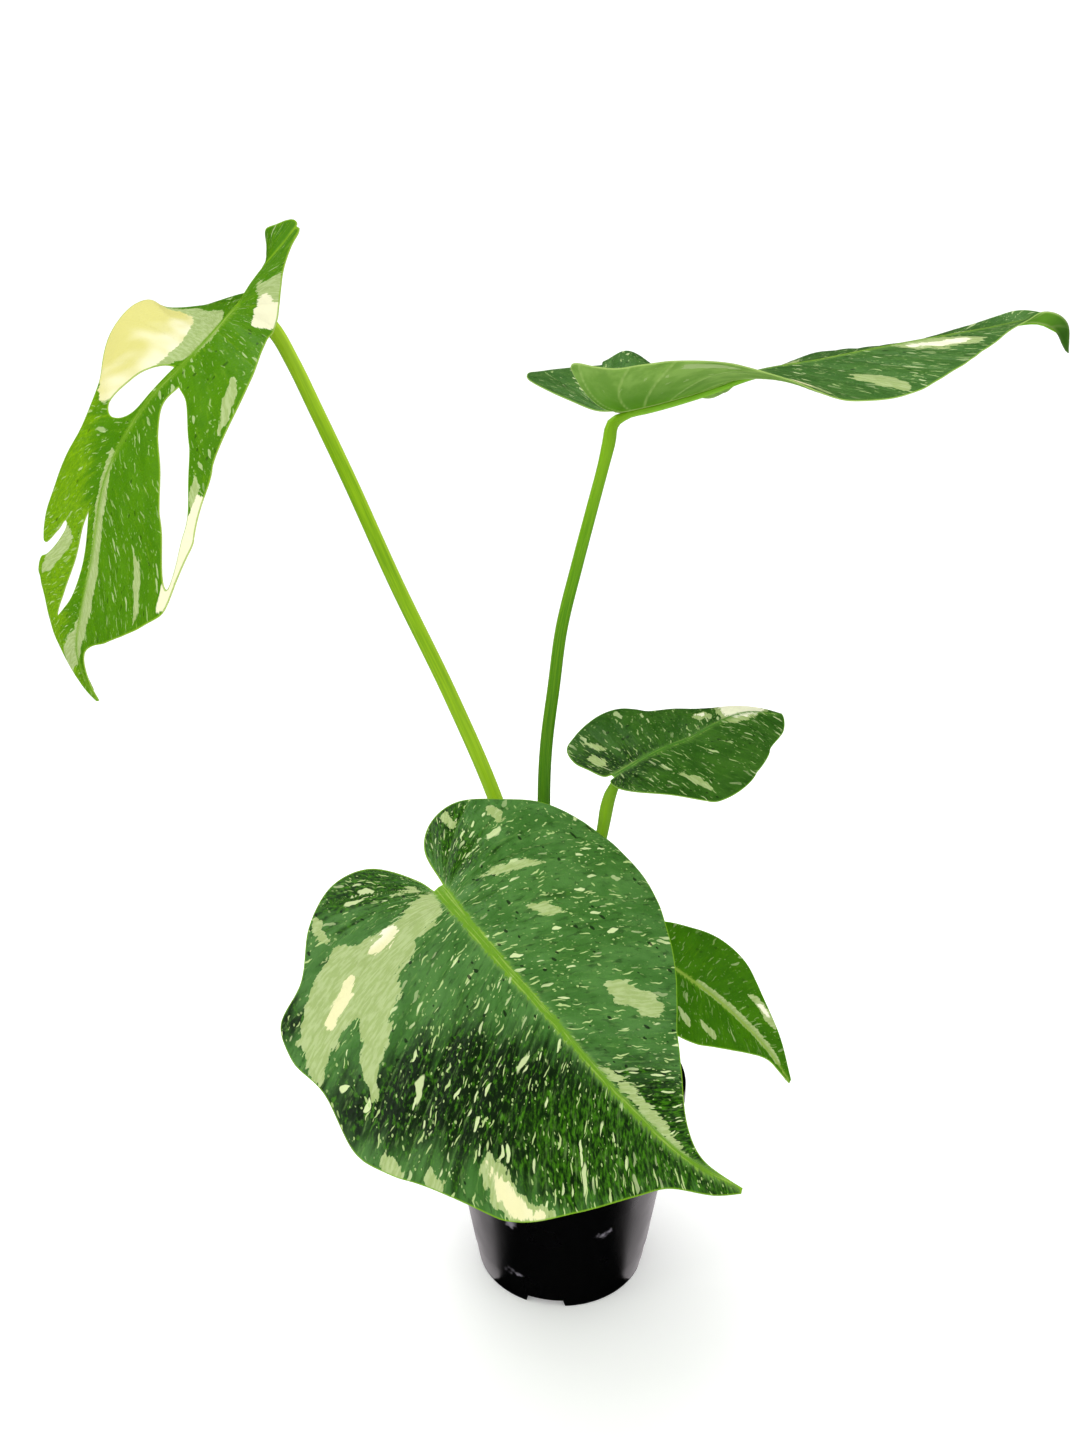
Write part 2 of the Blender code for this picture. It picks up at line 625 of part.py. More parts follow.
def make_stem(name, grow, collection, material=None):
    """Rings of points joined by a bridge, with both ends closed."""
    shape = bmesh.new()
    loops = []
    rings = stem_rings(grow)
    if grow:
        rise = np.array((0.0, 0.0, grow))
        rings[0] = (rings[0][0] - rise, rings[0][1])
        rings[-1] = (rings[-1][0] + rise, rings[-1][1])
    for centre, radius in rings:
        made = bmesh.ops.create_circle(shape, segments=STEM_SIDES, radius=radius * MM)
        bmesh.ops.translate(shape, verts=made["verts"], vec=Vector(centre) * MM)
        loops.append(list({e for v in made["verts"] for e in v.link_edges}))
    for below, above in zip(loops, loops[1:]):
        bmesh.ops.bridge_loops(shape, edges=below + above)
    bmesh.ops.holes_fill(shape, edges=[e for e in shape.edges if e.is_boundary])
    bmesh.ops.triangulate(shape, faces=[f for f in shape.faces if len(f.verts) > 4])
    bmesh.ops.recalc_face_normals(shape, faces=shape.faces)
    mesh = bpy.data.meshes.new(name)
    shape.to_mesh(mesh)
    shape.free()
    return new_object(name, mesh, collection, material)


def mix_height(x, y):
    """The lumpy top of the potting mix: a few crossed waves, flattened into chips."""
    u, v = x / MIX_LUMP_SIZE, y / MIX_LUMP_SIZE
    waves = sum(size * math.sin(p * u + q * v + start) for p, q, start, size in MIX_WAVES)
    return MIX_TOP + MIX_LUMP * math.tanh(MIX_FLATTEN * waves)


def make_mix(parts, cutters, material):
    """A plug that fills the pot, with a plain hole where the stem stands in it."""
    floor = POT_FLOOR + GAP
    step_foot = FOOT_STEP_HEIGHT - FOOT_STEP
    clear = 2 * GAP  # the pot's facets come nearer than its corners do
    low_radius = inside_radius(floor) - clear
    step_radius = inside_radius(step_foot) - clear
    lip_inside = POT_LIP_RADIUS - LIP_OVERHANG - POT_WALL - LIP_INNER_BEVEL[0]
    share = (MIX_TOP - step_foot) / (POT_HEIGHT - step_foot)
    top_radius = inside_radius(step_foot) * (1 - share) + lip_inside * share - clear
    shape = bmesh.new()
    wall = [(low_radius, floor), (step_radius, step_foot), (top_radius, MIX_TOP)]
    surface = [(top_radius * (1 - k / MIX_RINGS), MIX_TOP) for k in range(1, MIX_RINGS)]
    loops = []
    for index, (radius, height) in enumerate(wall + surface):
        made = bmesh.ops.create_circle(shape, segments=POT_SIDES, radius=radius * MM)
        for v in made["verts"]:
            lumpy = index >= len(wall)
            v.co.z = (mix_height(v.co.x / MM, v.co.y / MM) if lumpy else height) * MM
        loops.append(list({e for v in made["verts"] for e in v.link_edges}))
    for below, above in zip(loops, loops[1:]):
        bmesh.ops.bridge_loops(shape, edges=below + above)
    bmesh.ops.holes_fill(shape, edges=[e for e in shape.edges if e.is_boundary])
    bmesh.ops.triangulate(shape, faces=shape.faces)
    bmesh.ops.recalc_face_normals(shape, faces=shape.faces)
    mesh = bpy.data.meshes.new("potting_mix")
    shape.to_mesh(mesh)
    shape.free()
    mix = new_object("potting_mix", mesh, parts, material)
    hole = make_stem("stem_hole_cutter", MIX_HOLE_CLEARANCE, cutters)
    hide_cutter(hole)
    cut(mix, hole)
    return mix


def main():
    clear_scene()
    parts = new_collection("potted_monstera")
    cutters = new_collection("cutters")
    leaf_green = finish("leaf_blade", (0.05, 0.16, 0.03), 0.40)
    stalk_green = finish("leaf_stalk", (0.16, 0.42, 0.02), 0.42)
    stem_green = finish("stem_skin", (0.10, 0.20, 0.03), 0.55)
    bark = finish("potting_bark", (0.045, 0.026, 0.014), 0.90)
    make_pot(parts, cutters)
    make_mix(parts, cutters, bark)
    make_stem("stem", 0.0, parts, stem_green)
    stem_cutter = make_stem("stem_cutter", GAP, cutters)
    hide_cutter(stem_cutter)
    for leaf in LEAVES:
        blade = Blade(leaf)
        make_blade(leaf, blade, parts, leaf_green)
        make_stalk(leaf, blade, parts, stalk_green, stem_cutter)


main()
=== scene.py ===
"""A potted monstera with five cream-splashed leaves, dressed for the studio.

Every piece stands where its solid stands, in metres, with the foot of the pot on the origin. Shapes
are worked out in millimetres and turned into metres at the end.
"""

import math
import random

import bmesh
import bpy
import numpy as np
from mathutils import Matrix, Vector


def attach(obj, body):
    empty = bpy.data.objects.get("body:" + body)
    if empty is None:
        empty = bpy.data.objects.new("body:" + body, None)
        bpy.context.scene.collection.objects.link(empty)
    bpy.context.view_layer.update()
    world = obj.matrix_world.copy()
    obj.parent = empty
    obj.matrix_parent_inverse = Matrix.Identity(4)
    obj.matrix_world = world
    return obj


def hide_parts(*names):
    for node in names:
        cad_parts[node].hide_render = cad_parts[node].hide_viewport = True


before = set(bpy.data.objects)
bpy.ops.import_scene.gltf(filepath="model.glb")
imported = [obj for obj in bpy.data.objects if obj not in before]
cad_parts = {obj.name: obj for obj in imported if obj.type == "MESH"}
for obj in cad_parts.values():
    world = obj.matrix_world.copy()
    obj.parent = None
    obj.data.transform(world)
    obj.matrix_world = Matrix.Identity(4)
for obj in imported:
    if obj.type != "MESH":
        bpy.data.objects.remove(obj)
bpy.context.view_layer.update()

MM = 0.001

# Pot
POT_HEIGHT = 90.0
POT_FOOT_RADIUS = 37.9
POT_LIP_RADIUS = 54.4
POT_WALL = 1.4
LIP_DEPTH = 7.0
LIP_OVERHANG = 1.6
LIP_INSIDE = POT_LIP_RADIUS - LIP_OVERHANG - POT_WALL
FOOT_STEP_HEIGHT = 12.0
FOOT_STEP = 0.35
STEP_FOOT = FOOT_STEP_HEIGHT - FOOT_STEP
POT_FLOOR = 1.8
POT_SIDES = 144
NOTCH_COUNT = 4
NOTCH_WIDTH = 19.0
NOTCH_HEIGHT = 3.6
NOTCH_DEPTH = 9.0
NOTCH_TURN = math.radians(-101.0)
NOTCH_TOP_SHARE = 0.8  # how wide a notch is at its top, as a share of its width
NOTCH_BEYOND = 2.0  # how far the cutter stands out past the foot

# Potting mix, and what lies on it
MIX_TOP = 80.0
MIX_CLEAR = 0.5
MIX_ABOVE_FLOOR = 0.3
MIX_RINGS = 44
MIX_SIDES = 120
MIX_LUMP = 1.32
MIX_LUMP_SIZE = 11.0
MIX_FLATTEN = 0.9
MIX_WAVES = ((5.1, 1.7, 0.0, 1.0), (-2.3, 4.9, 1.3, 1.0), (7.9, -6.1, 0.4, 0.8), (3.3, 9.7, 2.1, 0.6))
CHIPS = 520
CHIP_SEED = 7
CHIP_INSET = 3.0  # how far the chips stay off the bed's border
CHIP_SIZES = (2.2, 5.6)
GRAIN_SIZES = (1.2, 2.4)
GRAIN_EVERY = 11  # one in so many is a white grain and not a chip of bark

# Stem
STEM_FOOT = (0.0, 2.0, 46.0)
STEM_TOP = (-1.0, 2.0, 126.0)
STEM_STEPS = 96
STEM_SIDES = 40
STEM_RADIUS = 6.6
STEM_RING = 0.8
STEM_RING_WIDTH = 1.7
STEM_RING_SPACING = 13.0
STEM_DOME_FROM = 0.93
STEM_DOME_REACH = 0.072
STEM_DOME_LEAST = 0.06

# Blades
CELL = 1.1  # the blades are modelled in cells of this size
BLADE_THICKNESS = 0.6
MARGIN_THICKNESS = 0.35
SPAN_STEPS = 8  # how many points each curve has from one given point to the next
CURVE_STEPS = 24  # how many the midrib's own curve has
HOLE_STEPS = 6
MARK_STEPS = 4
MIDRIB_FLARE = 0.7
MIDRIB_FLARE_REACH = 22.0
MIDRIB_THINNING = 0.62
QUILTING = 0.75  # this, the ripples, the swells and the grooves are shares of the leaf's own relief
RIPPLES = 0.16
SWELLS = 0.35
GROOVES = 0.28
GROOVE_WIDTH = 0.75
GROOVE_BELOW = 0.30  # how far a side vein stands out of the underside
RIDGE_SPREAD = 1.3  # how wide the midrib's ridge is, as a share of the bright midrib
RIDGE_ABOVE = 0.30
RIDGE_BELOW = 0.55
VEIN_REACH = 220.0
VEIN_STEP = 2.0
OUTSIDE = -12.0  # the depth in a mark where nothing is marked

# Stalks, and how each runs on under its blade as the midrib
STALK_STEP = 2.5
STALK_SIDES = 28
RIB_REACH = 0.95
RIB_START = 5.0
RIB_STATIONS = 24
RIB_SHARE = 0.62
RIB_TIP_RADIUS = 0.3
JOINT_SWELL = 0.35
JOINT_SWELL_BEFORE = 6.0  # how far down the stalk from the joint it's thickest
JOINT_SWELL_WIDTH = 7.0
FOOT_SWELL = 0.9
FOOT_SWELL_WIDTH = 26.0
CHANNEL_DEPTH = 0.13
CHANNEL_ANGLE = 0.42
RIDGE_COUNT = 7
RIDGE = 0.03

# Studio, in metres and degrees
CAMERA_PLACE = (-0.0082, -0.425, 0.369)
CAMERA_DOWN = 15.7
CAMERA_LENS = 27.35
CAMERA_SENSOR = 36.0

# Each leaf, in millimetres.
# "midrib" runs from the stalk's joint to the tip in the pot's own axes, and "lobe_spine" carries it on
# behind the joint, between the two base lobes. "facing" is where the upper side looks at a share of the
# midrib's length. "right" and "left" give, at such shares, how far each half is folded up from flat and
# how far it curls on by its widest point, both in degrees. "half_width" is how far out that point is.
# "stalk" runs from inside the stem to the joint, and "stalk_radii" are at its two ends.
# The outlines, holes and marks are on the flat blade: across, then along the midrib. Sage is a thin
# green-white and cream is bare of green. Dark is painted shade: the green turns darkest where the leaf
# lies in shade, as at the middle right leaf's joint. Vivid is a more saturated green, which on the upper
# left leaf is a painted glow of light through the blade.
# "greens" are the two that cloud the leaf, its bright streaks, its darkest, for the painted shade in its
# dark marks and streaks, and the two of its most vivid part. "look" is the midrib's colour, the share of
# flecks, how far the marks are torn, the margin's colour and how much the skin shines.
UPPER_LEFT = dict(
    name="upper_left",
    half_width=66.0,
    lobe_spine=[(-108, -23, 412), (-102, -25, 418), (-95, -28, 424), (-89, -30, 430)],
    midrib=[
        (-114, -21, 405), (-128, -24, 390), (-146, -26, 373), (-162, -28, 348), (-170, -28, 320),
        (-177, -26, 300), (-182, -22, 284), (-181, -18, 270), (-177, -16, 260),
    ],
    facing=[
        (-0.15, (-0.85, -0.42, 0.20)), (0.0, (-0.72, -0.48, 0.45)), (0.25, (-0.72, -0.62, 0.30)),
        (0.7, (-0.68, -0.70, 0.15)), (1.0, (-0.68, -0.70, 0.15)),
    ],
    right=[
        (-0.24, 22, 0), (-0.14, 18, 0), (-0.1, -20, 0), (-0.07, -48, 0), (-0.035, -38, 0), (0.0, -14, 0),
        (0.04, -3, 0), (0.1, 2, 0), (0.18, 2, 0), (0.28, 3, 0), (0.6, 5, 0), (1, 5, 0),
    ],
    left=[
        (-0.24, -28, 0), (-0.08, -28, 0), (0, -26, 0), (0.06, -20, 0), (0.15, -12, 0), (0.3, -9, 0),
        (0.5, -4, 0), (0.7, 0, 0), (1, 0, 0),
    ],
    outline_right=[
        (0.25, 0), (0.25, -14), (0.25, -30), (0.3, -36), (2.5, -36), (5, -33.5), (7.2, -29.5),
        (10.2, -23.5), (12.2, -18), (9, -13.5), (5, -10), (13, -6), (25, -3), (34, 0), (41, 5), (58, 19),
        (61, 30), (53, 42), (36, 53), (30, 67), (34, 85), (37, 99), (36, 108), (33.5, 112.5), (27.5, 105),
        (22.5, 97), (21, 98), (24, 106.5), (30.5, 116.5), (34, 119.5), (34, 125), (23, 139), (14, 147),
        (8, 155), (3, 162), (0, 168),
    ],
    outline_left=[
        (-0.25, 0), (-0.25, -14), (-0.25, -30), (-0.8, -36), (-2.2, -35), (-3.2, -30), (-5.5, -25),
        (-10, -19.5), (-14.5, -14.5), (-18.5, -10), (-20.5, -5), (-20.5, -1), (-24, 6), (-32, 16),
        (-41, 28), (-48, 42), (-57, 67), (-62, 83), (-58, 97), (-55, 104), (-44, 112), (-24, 126),
        (-13, 133), (-7, 140), (-3, 153), (0, 168),
    ],
    holes=[
        [(-7, 33), (-7, 41), (-14, 50), (-28, 62), (-42, 82), (-50, 99), (-54, 100), (-56, 89), (-53, 71),
         (-42, 56), (-30, 43), (-16, 34)],
        [(3, 30), (10, 34), (18, 43), (22, 55), (17, 58), (9, 56), (4, 51), (2.5, 41)],
        [(7, 89), (6, 99), (5.5, 112), (8, 124), (16, 137), (14, 126), (11, 111), (10, 97)],
    ],
    stalk=[
        (-3, 1, 104), (-8, -1, 126), (-11, -1, 150), (-17, -1, 182), (-28, 0, 219), (-45, -3, 263),
        (-64, -7, 307), (-79, -11, 345), (-90, -13, 371), (-97, -14, 387), (-103, -15, 398),
        (-110, -18, 404),
    ],
    stalk_radii=(3.4, 2.6),
    relief=0.5, midrib_width=0.7, vein_spacing=12.0,
    sage=[
        [(56, 17), (66, 28), (68, 37), (60, 40), (50, 45), (39, 51), (26, 57), (22, 55), (18, 48),
         (12, 39), (5, 29), (-1, 21), (-1, 9), (12, 4), (26, 7), (40, 9)],
        [(-2, -13), (-4, -10), (-8, -9), (-12, -11), (-15, -12), (-14, -17), (-8, -22), (-6, -19),
         (-5, -15)],
        [(4, 64), (3, 76), (2, 90), (1, 106), (0, 121), (3, 135), (11, 147), (10, 154), (-1, 146),
         (-7, 128), (-7, 112), (-5, 99), (-4, 83), (0, 68)],
        [(30, 112), (26, 104), (21, 98), (15, 102), (19, 112), (25, 121), (31, 125)],
        [(-24, 18), (-28, 18), (-38, 26), (-40, 31), (-33, 27)],
        [(-29, 95), (-33, 97), (-39, 108), (-38, 114), (-34, 108)],
        [(-44, 52), (-50, 56), (-52, 66), (-47, 62)],
    ],
    cream=[
        [(56, 18), (68, 30), (68, 40), (54, 46), (38, 52), (26, 57), (21, 52), (15, 42), (12, 32),
         (14, 21), (24, 13), (38, 12)],
        [(-9, -3), (-7, -9), (-9, -13), (-13, -13), (-16, -17), (-20, -12), (-20, -6), (-16, -2),
         (-12, 1)],
        [(-50, 58), (-60, 56), (-68, 80), (-62, 100), (-50, 106), (-51, 97), (-54, 88), (-53, 74)],
    ],
    # Painted shade by the base lobes
    dark=[[(34, -2), (16, -6), (6, -14), (4, -34), (12, -30), (14, -12), (30, -4)]],
    # Painted light: the vivid mark is a glow of light through the right half of the blade
    vivid=[[(66, 44), (30, 60), (20, 70), (8, 100), (14, 130), (4, 160), (36, 130), (44, 90), (60, 60)]],
    greens=("#4b8400", "#548d02", "#7cab16", "#3d7804", "#6a9c02", "#84b402"),
    look=("#6a9c18", 0.55, 4.0, "#86b41c", 0.12),
)
UPPER_RIGHT = dict(
    name="upper_right",
    half_width=65.0,
    lobe_spine=[(11, -5, 370), (0, -4.3, 373), (-14, -3.6, 377), (-28, -3, 382)],
    midrib=[
        (18, -5.3, 370), (33, -5.7, 373), (51, -5.8, 378), (69, -5, 384), (92, -3, 388), (118, 0, 393),
        (141, 2, 397), (153, 3, 399), (164, 3, 401), (172, 3, 402), (180, 2, 399), (184, 0, 391),
    ],
    facing=[(0.0, (-0.15, -0.05, 1.0)), (0.5, (-0.2, 0.0, 1.0)), (1.0, (0.5, -0.2, 0.8))],
    right=[
        (-0.2, 21, 0), (-0.1, 19, 0), (0, 14, 3), (0.1, 11, 3), (0.19, 7, 0), (0.27, -3, 0),
        (0.35, -12, -2), (0.45, -17, -3), (0.6, -17, -3), (0.72, -11, 0), (0.84, 5, 0), (0.93, 40, 0),
        (1, 40, 0),
    ],
    left=[
        (-0.2, 8, 0), (0, 16, 0), (0.08, 18, 0), (0.18, 3, 0), (0.26, -6, 0), (0.36, -2, 0), (0.5, 3, 0),
        (0.8, 2, 0), (0.9, 25, 0), (1, 40, 0),
    ],
    outline_right=[
        (1, 0), (5, -3), (15, -8), (32, -15), (47, -18), (58, -8), (64, 18), (61, 50), (52, 80),
        (38, 108), (24, 128), (13, 144), (8, 156), (5, 168), (0, 177),
    ],
    outline_left=[
        (-1, 0), (-2, -8), (-9, -24), (-24, -36), (-42, -35), (-56, -22), (-62, -7), (-63, 6), (-64, 20),
        (-61, 50), (-52, 80), (-38, 108), (-24, 128), (-13, 144), (-8, 156), (-5, 168), (0, 177),
    ],
    stalk=[
        (-2, 4, 106), (-4, 9, 128), (-5, 9, 150), (-7, 7, 182), (-8, 6, 216), (-7, 6, 239), (-4, 5, 264),
        (-1, 3, 288), (5, 0, 314), (10, -2, 334), (14, -4, 350), (16, -5, 359), (17.5, -5, 366),
    ],
    stalk_radii=(3.2, 2.2),
    relief=0.5, midrib_width=1.2, vein_spacing=12.0,
    sage=[
        [(24, 42), (34, 44), (44, 50), (56, 62), (44, 60), (32, 54)],
        [(24, 78), (30, 78), (46, 90), (40, 92), (28, 88)],
        [(-3, 104), (2, 104), (14, 120), (14, 134), (6, 130), (0, 118)],
        [(-14, 60), (-34, 64), (-50, 76), (-42, 84), (-26, 76)],
        [(54, 20), (60, 22), (58, 36), (52, 32)],
    ],
    cream=[[(30, 44), (42, 50), (50, 58), (38, 54)], [(4, 108), (12, 120), (10, 130), (4, 120)]],
    greens=("#42712c", "#507e36", "#769f4c", "#315d1e", "#4c8020", "#5f8e2c"),
    look=("#74a02c", 0.8, 9.0, "#7cac30", 0.26),
)
MIDDLE_RIGHT = dict(
    name="middle_right",
    half_width=34.0,
    midrib=[(20, -5, 229), (39, 7, 236), (53, 15, 239), (64, 22, 243), (78, 30, 246), (92, 36, 244)],
    facing=[(0.0, (0.0, -0.50, 0.85)), (1.0, (0.2, -0.40, 0.93))],
    right=[(-0.2, 22, 0), (0, 20, 0), (0.3, 4, -10), (0.6, -2, -12), (1, -5, -15)],
    left=[(-0.2, 0, 0), (0, 0, -8), (0.4, -7, -14), (0.6, -15, -18), (0.8, -26, -20), (1, -20, -20)],
    outline_right=[
        (1, 0), (2, -3), (9, -4), (18, 0), (26, 8), (31, 18), (33, 32), (30, 48), (25, 63), (19, 76),
        (11, 85), (4, 89), (0, 90),
    ],
    outline_left=[
        (-1, 0), (-2, -3), (-9, -6), (-15, -8), (-23, -6), (-28, 2), (-32, 12), (-35, 26), (-31, 42),
        (-25, 56), (-18, 70), (-8, 84), (0, 90),
    ],
    stalk=[(2, 1, 104), (8, 0, 126), (9, -1, 152), (12, -3, 182), (16, -4, 205), (19, -4, 221)],
    stalk_radii=(3.1, 2.3),
    relief=0.3, midrib_width=0.7, vein_spacing=8.0,
    sage=[
        [(-14, -2), (-14, 1), (-9, 3), (-6, 1), (-9, -3)],
        [(-22, 2), (-20, 6), (-13, 7), (-15, 4)],
        [(0, 58), (-10, 62), (-18, 68), (-15, 80), (-7, 86), (2, 76), (4, 64)],
        [(14, 20), (24, 26), (29, 34), (20, 30)],
        [(-12, 50), (-13, 58), (-6, 58), (-7, 52)],
    ],
    # Painted shadow: the dark mark at the joint
    dark=[[(-12, -8), (-11, 8), (-2, 16), (7, 8), (5, -6)]],
    cream=[
        [(1, 62), (-8, 64), (-16, 70), (-13, 80), (-6, 84), (2, 74)],
        [(-12, 53), (-12, 57), (-8, 56)],
    ],
    greens=("#306014", "#40701e", "#64903a", "#15360a", "#40701e", "#50841e"),
    look=("#4c8424", 0.7, 7.0, "#74a824", 0.2),
)
FRONT = dict(
    name="front",
    half_width=80.0,
    midrib=[
        (-44, -72, 210), (-23, -91, 193), (-3, -107, 177), (16, -120, 160), (36, -130, 145),
        (55, -134, 136),
    ],
    facing=[(0.0, (-0.15, -0.70, 0.70)), (1.0, (0.05, -0.70, 0.70))],
    right=[(-0.3, -15, -10), (0, -12, -10), (1, -5, -5)],
    left=[(-0.3, -25, -25), (0, -25, -20), (1, -10, -5)],
    outline_right=[
        (2, -1), (4, -8), (15, -25), (30, -31), (46, -26), (60, -13), (76, -7), (79, 6), (75, 24),
        (77, 45), (72, 58), (58, 82), (48, 96), (34, 105), (18, 114), (10, 120), (5, 133), (0, 142),
    ],
    outline_left=[
        (-2, -1), (-5, -16), (-14, -25), (-30, -29), (-48, -23), (-67, -14), (-78, 8), (-78, 24),
        (-73, 42), (-62, 60), (-42, 82), (-22, 102), (-9, 115), (-3, 124), (-1, 132), (0, 142),
    ],
    stalk=[(-3, -1, 94), (-9, -12, 116), (-19, -28, 148), (-32, -47, 180), (-41, -60, 198)],
    stalk_radii=(3.2, 2.5),
    relief=0.6, midrib_width=1.45, vein_spacing=12.0,
    sage=[
        [(2, -1), (9, -4), (16, -3), (27, -5), (36, -8), (42, -12), (48, -12), (56, -8), (64, -5),
         (71, 1), (75, 2), (73, 7), (76, 15), (75, 21), (66, 16), (58, 14), (49, 11), (52, 17), (57, 25),
         (61, 33), (62, 38), (58, 35), (52, 32), (45, 26), (38, 20), (31, 17), (31, 13), (23, 11),
         (17, 8), (8, 8), (3, 5)],
        [(-15, 3), (-26, 2), (-42, 9), (-25, 7)],
        [(-37, -22), (-42, -22), (-43, -15), (-39, -14)],
        [(-19, -27), (-23, -26), (-22, -19), (-19, -20)],
        [(-21, 20), (-29, 24), (-34, 31), (-26, 28)],
        [(-25, 60), (-30, 64), (-33, 70), (-36, 75), (-35, 81), (-31, 83), (-27, 79), (-25, 73),
         (-22, 66)],
        [(-1, 80), (-5, 86), (-6, 96), (-5, 107), (-1, 120), (-1, 104), (-2, 92)],
        [(42, 77), (41, 84), (42, 90), (41, 95), (38, 102), (45, 100), (50, 94), (51, 88), (49, 83),
         (46, 79)],
        [(41, -27), (44, -27), (45, -17), (42, -16)],
        [(15, -11), (11, -8), (6, -4), (7, -8)],
        [(68, 52), (72, 53), (70, 63), (67, 62)],
        [(60, 68), (63, 70), (61, 78), (59, 76)],
    ],
    cream=[
        [(33, -2), (27, -4), (21, -3), (20, 0), (25, 2), (31, 1)],
        [(61, 4), (56, 2), (49, 0), (43, -1), (43, 3), (48, 6), (55, 8), (61, 9)],
        [(44, 79), (43, 86), (43, 93), (41, 100), (47, 97), (49, 91), (48, 85)],
    ],
    # Painted shade: the dark marks, mostly over the lower middle of the blade
    dark=[
        [(78, 22), (66, 30), (46, 34), (24, 42), (12, 60), (4, 76), (3, 100), (18, 104), (32, 94),
         (48, 74), (60, 54), (72, 40)],
        [(74, -6), (68, -12), (70, -2)],
        [(-2, 90), (-10, 92), (-17, 98), (-12, 112), (-4, 118), (-2, 104)],
    ],
    vivid=[
        [(-12, -26), (-8, -10), (-13, -2), (-22, -10), (-26, -26)],
        [(34, -31), (18, -27), (10, -16), (6, -6), (20, -14), (36, -22)],
        [(26, 78), (8, 84), (-4, 96), (-14, 104), (-14, 116), (0, 146), (10, 124), (26, 108), (34, 96)],
    ],
    greens=("#41742c", "#52843c", "#7ca852", "#081e03", "#0a2c00", "#428200"),
    look=("#6c9f18", 1.0, 8.0, "#80b01c", 0.26),
)
LOWER_RIGHT = dict(
    name="lower_right",
    half_width=30.0,
    midrib=[
        (33, -23, 162), (44, -26, 155), (61, -29, 143), (72, -31, 133), (82, -32, 122), (94, -32, 104),
    ],
    facing=[(0.0, (0.3, -0.45, 0.85)), (1.0, (0.6, -0.45, 0.65))],
    right=[(-0.2, 6, 0), (1, 9, 0)],
    left=[(-0.2, 10, 0), (1, 10, 0)],
    outline_right=[
        (1, 0), (2, -3), (9, -6), (19, -4), (27, 5), (31, 18), (29, 31), (23, 41), (12, 55), (4, 67),
        (2, 76), (0, 86),
    ],
    outline_left=[
        (-1, 0), (-2, -3), (-8, -5), (-15, 0), (-21, 12), (-25, 26), (-24, 38), (-20, 47), (-14, 59),
        (-9, 70), (-4, 79), (0, 86),
    ],
    stalk=[(1, 1, 92), (8, -5, 112), (17, -11, 132), (26, -17, 149), (30, -20, 157)],
    stalk_radii=(2.7, 1.9),
    relief=0.3, midrib_width=0.7, vein_spacing=7.5,
    sage=[
        [(-12, 45), (-15, 50), (-14, 58), (-11, 66), (-9, 60), (-11, 52)],
        [(16, 30), (19, 32), (20, 40), (17, 39)],
        [(17, 20), (21, 22), (24, 27), (19, 26)],
        [(-2.6, 24), (-3, 44), (-2.8, 60), (-1.5, 74), (0.5, 74), (1.2, 58), (1, 40), (0.4, 24)],
    ],
    cream=[[(-12, 50), (-14, 54), (-12, 60), (-11, 55)]],
    greens=("#387000", "#427b00", "#5f9610", "#2c6000", "#427b00", "#4c8804"),
    look=("#8fae40", 0.35, 2.0, "#74aa18", 0.1),
)
LEAVES = (UPPER_LEFT, UPPER_RIGHT, MIDDLE_RIGHT, FRONT, LOWER_RIGHT)

# The side veins that fan out of the joint: where each leaves the midrib and its angle from the tip,
# for veins 11 mm apart
VEIN_FAN = ((0.3, 172), (0.8, 156), (1.6, 139), (3.0, 122), (5.5, 105), (10.0, 90))
VEIN_FAN_SPACING = 11.0
# Past the fan: the first vein's angle, how much each next one closes up, and the least angle
VEIN_ANGLE = 79.0
VEIN_CLOSING = 5.0
VEIN_LEAST_ANGLE = 52.0
OTHER_HALF = 280.0  # sets the patterns of a leaf's two halves apart


def unit(v):
    v = np.asarray(v, float)
    return v / np.linalg.norm(v, axis=-1, keepdims=True)


def travelled(points):
    """How far each point lies along the line through them all."""
    return np.concatenate([[0.0], np.cumsum(np.linalg.norm(np.diff(points, axis=0), axis=1))])


def read(where, stations, table):
    """The rows of the table at places between its stations."""
    return np.stack([np.interp(where, stations, column) for column in table.T], -1)


def smooth_through(points, steps):
    """A centripetal Catmull-Rom curve through the points, with `steps` points to a span."""
    given = np.asarray(points, float)
    ends = 2 * given[0] - given[1], 2 * given[-1] - given[-2]
    padded = np.vstack([ends[0], given, ends[1]])
    curve = []
    for a, b, c, d in zip(padded, padded[1:], padded[2:], padded[3:]):
        t1 = math.sqrt(np.linalg.norm(b - a))
        t2 = t1 + math.sqrt(np.linalg.norm(c - b))
        t3 = t2 + math.sqrt(np.linalg.norm(d - c))
        t = np.linspace(t1, t2, steps, endpoint=False)[:, None]
        ab = (t1 - t) / t1 * a + t / t1 * b
        bc = (t2 - t) / (t2 - t1) * b + (t - t1) / (t2 - t1) * c
        cd = (t3 - t) / (t3 - t2) * c + (t - t2) / (t3 - t2) * d
        abc = (t2 - t) / t2 * ab + t / t2 * bc
        bcd = (t3 - t) / (t3 - t1) * bc + (t - t1) / (t3 - t1) * cd
        curve.append((t2 - t) / (t2 - t1) * abc + (t - t1) / (t2 - t1) * bcd)
    curve.append(given[-1:])
    return np.vstack(curve)


def closed_through(points, steps):
    """The same as a closed loop."""
    return smooth_through(points + points[:1], steps)[:-1]


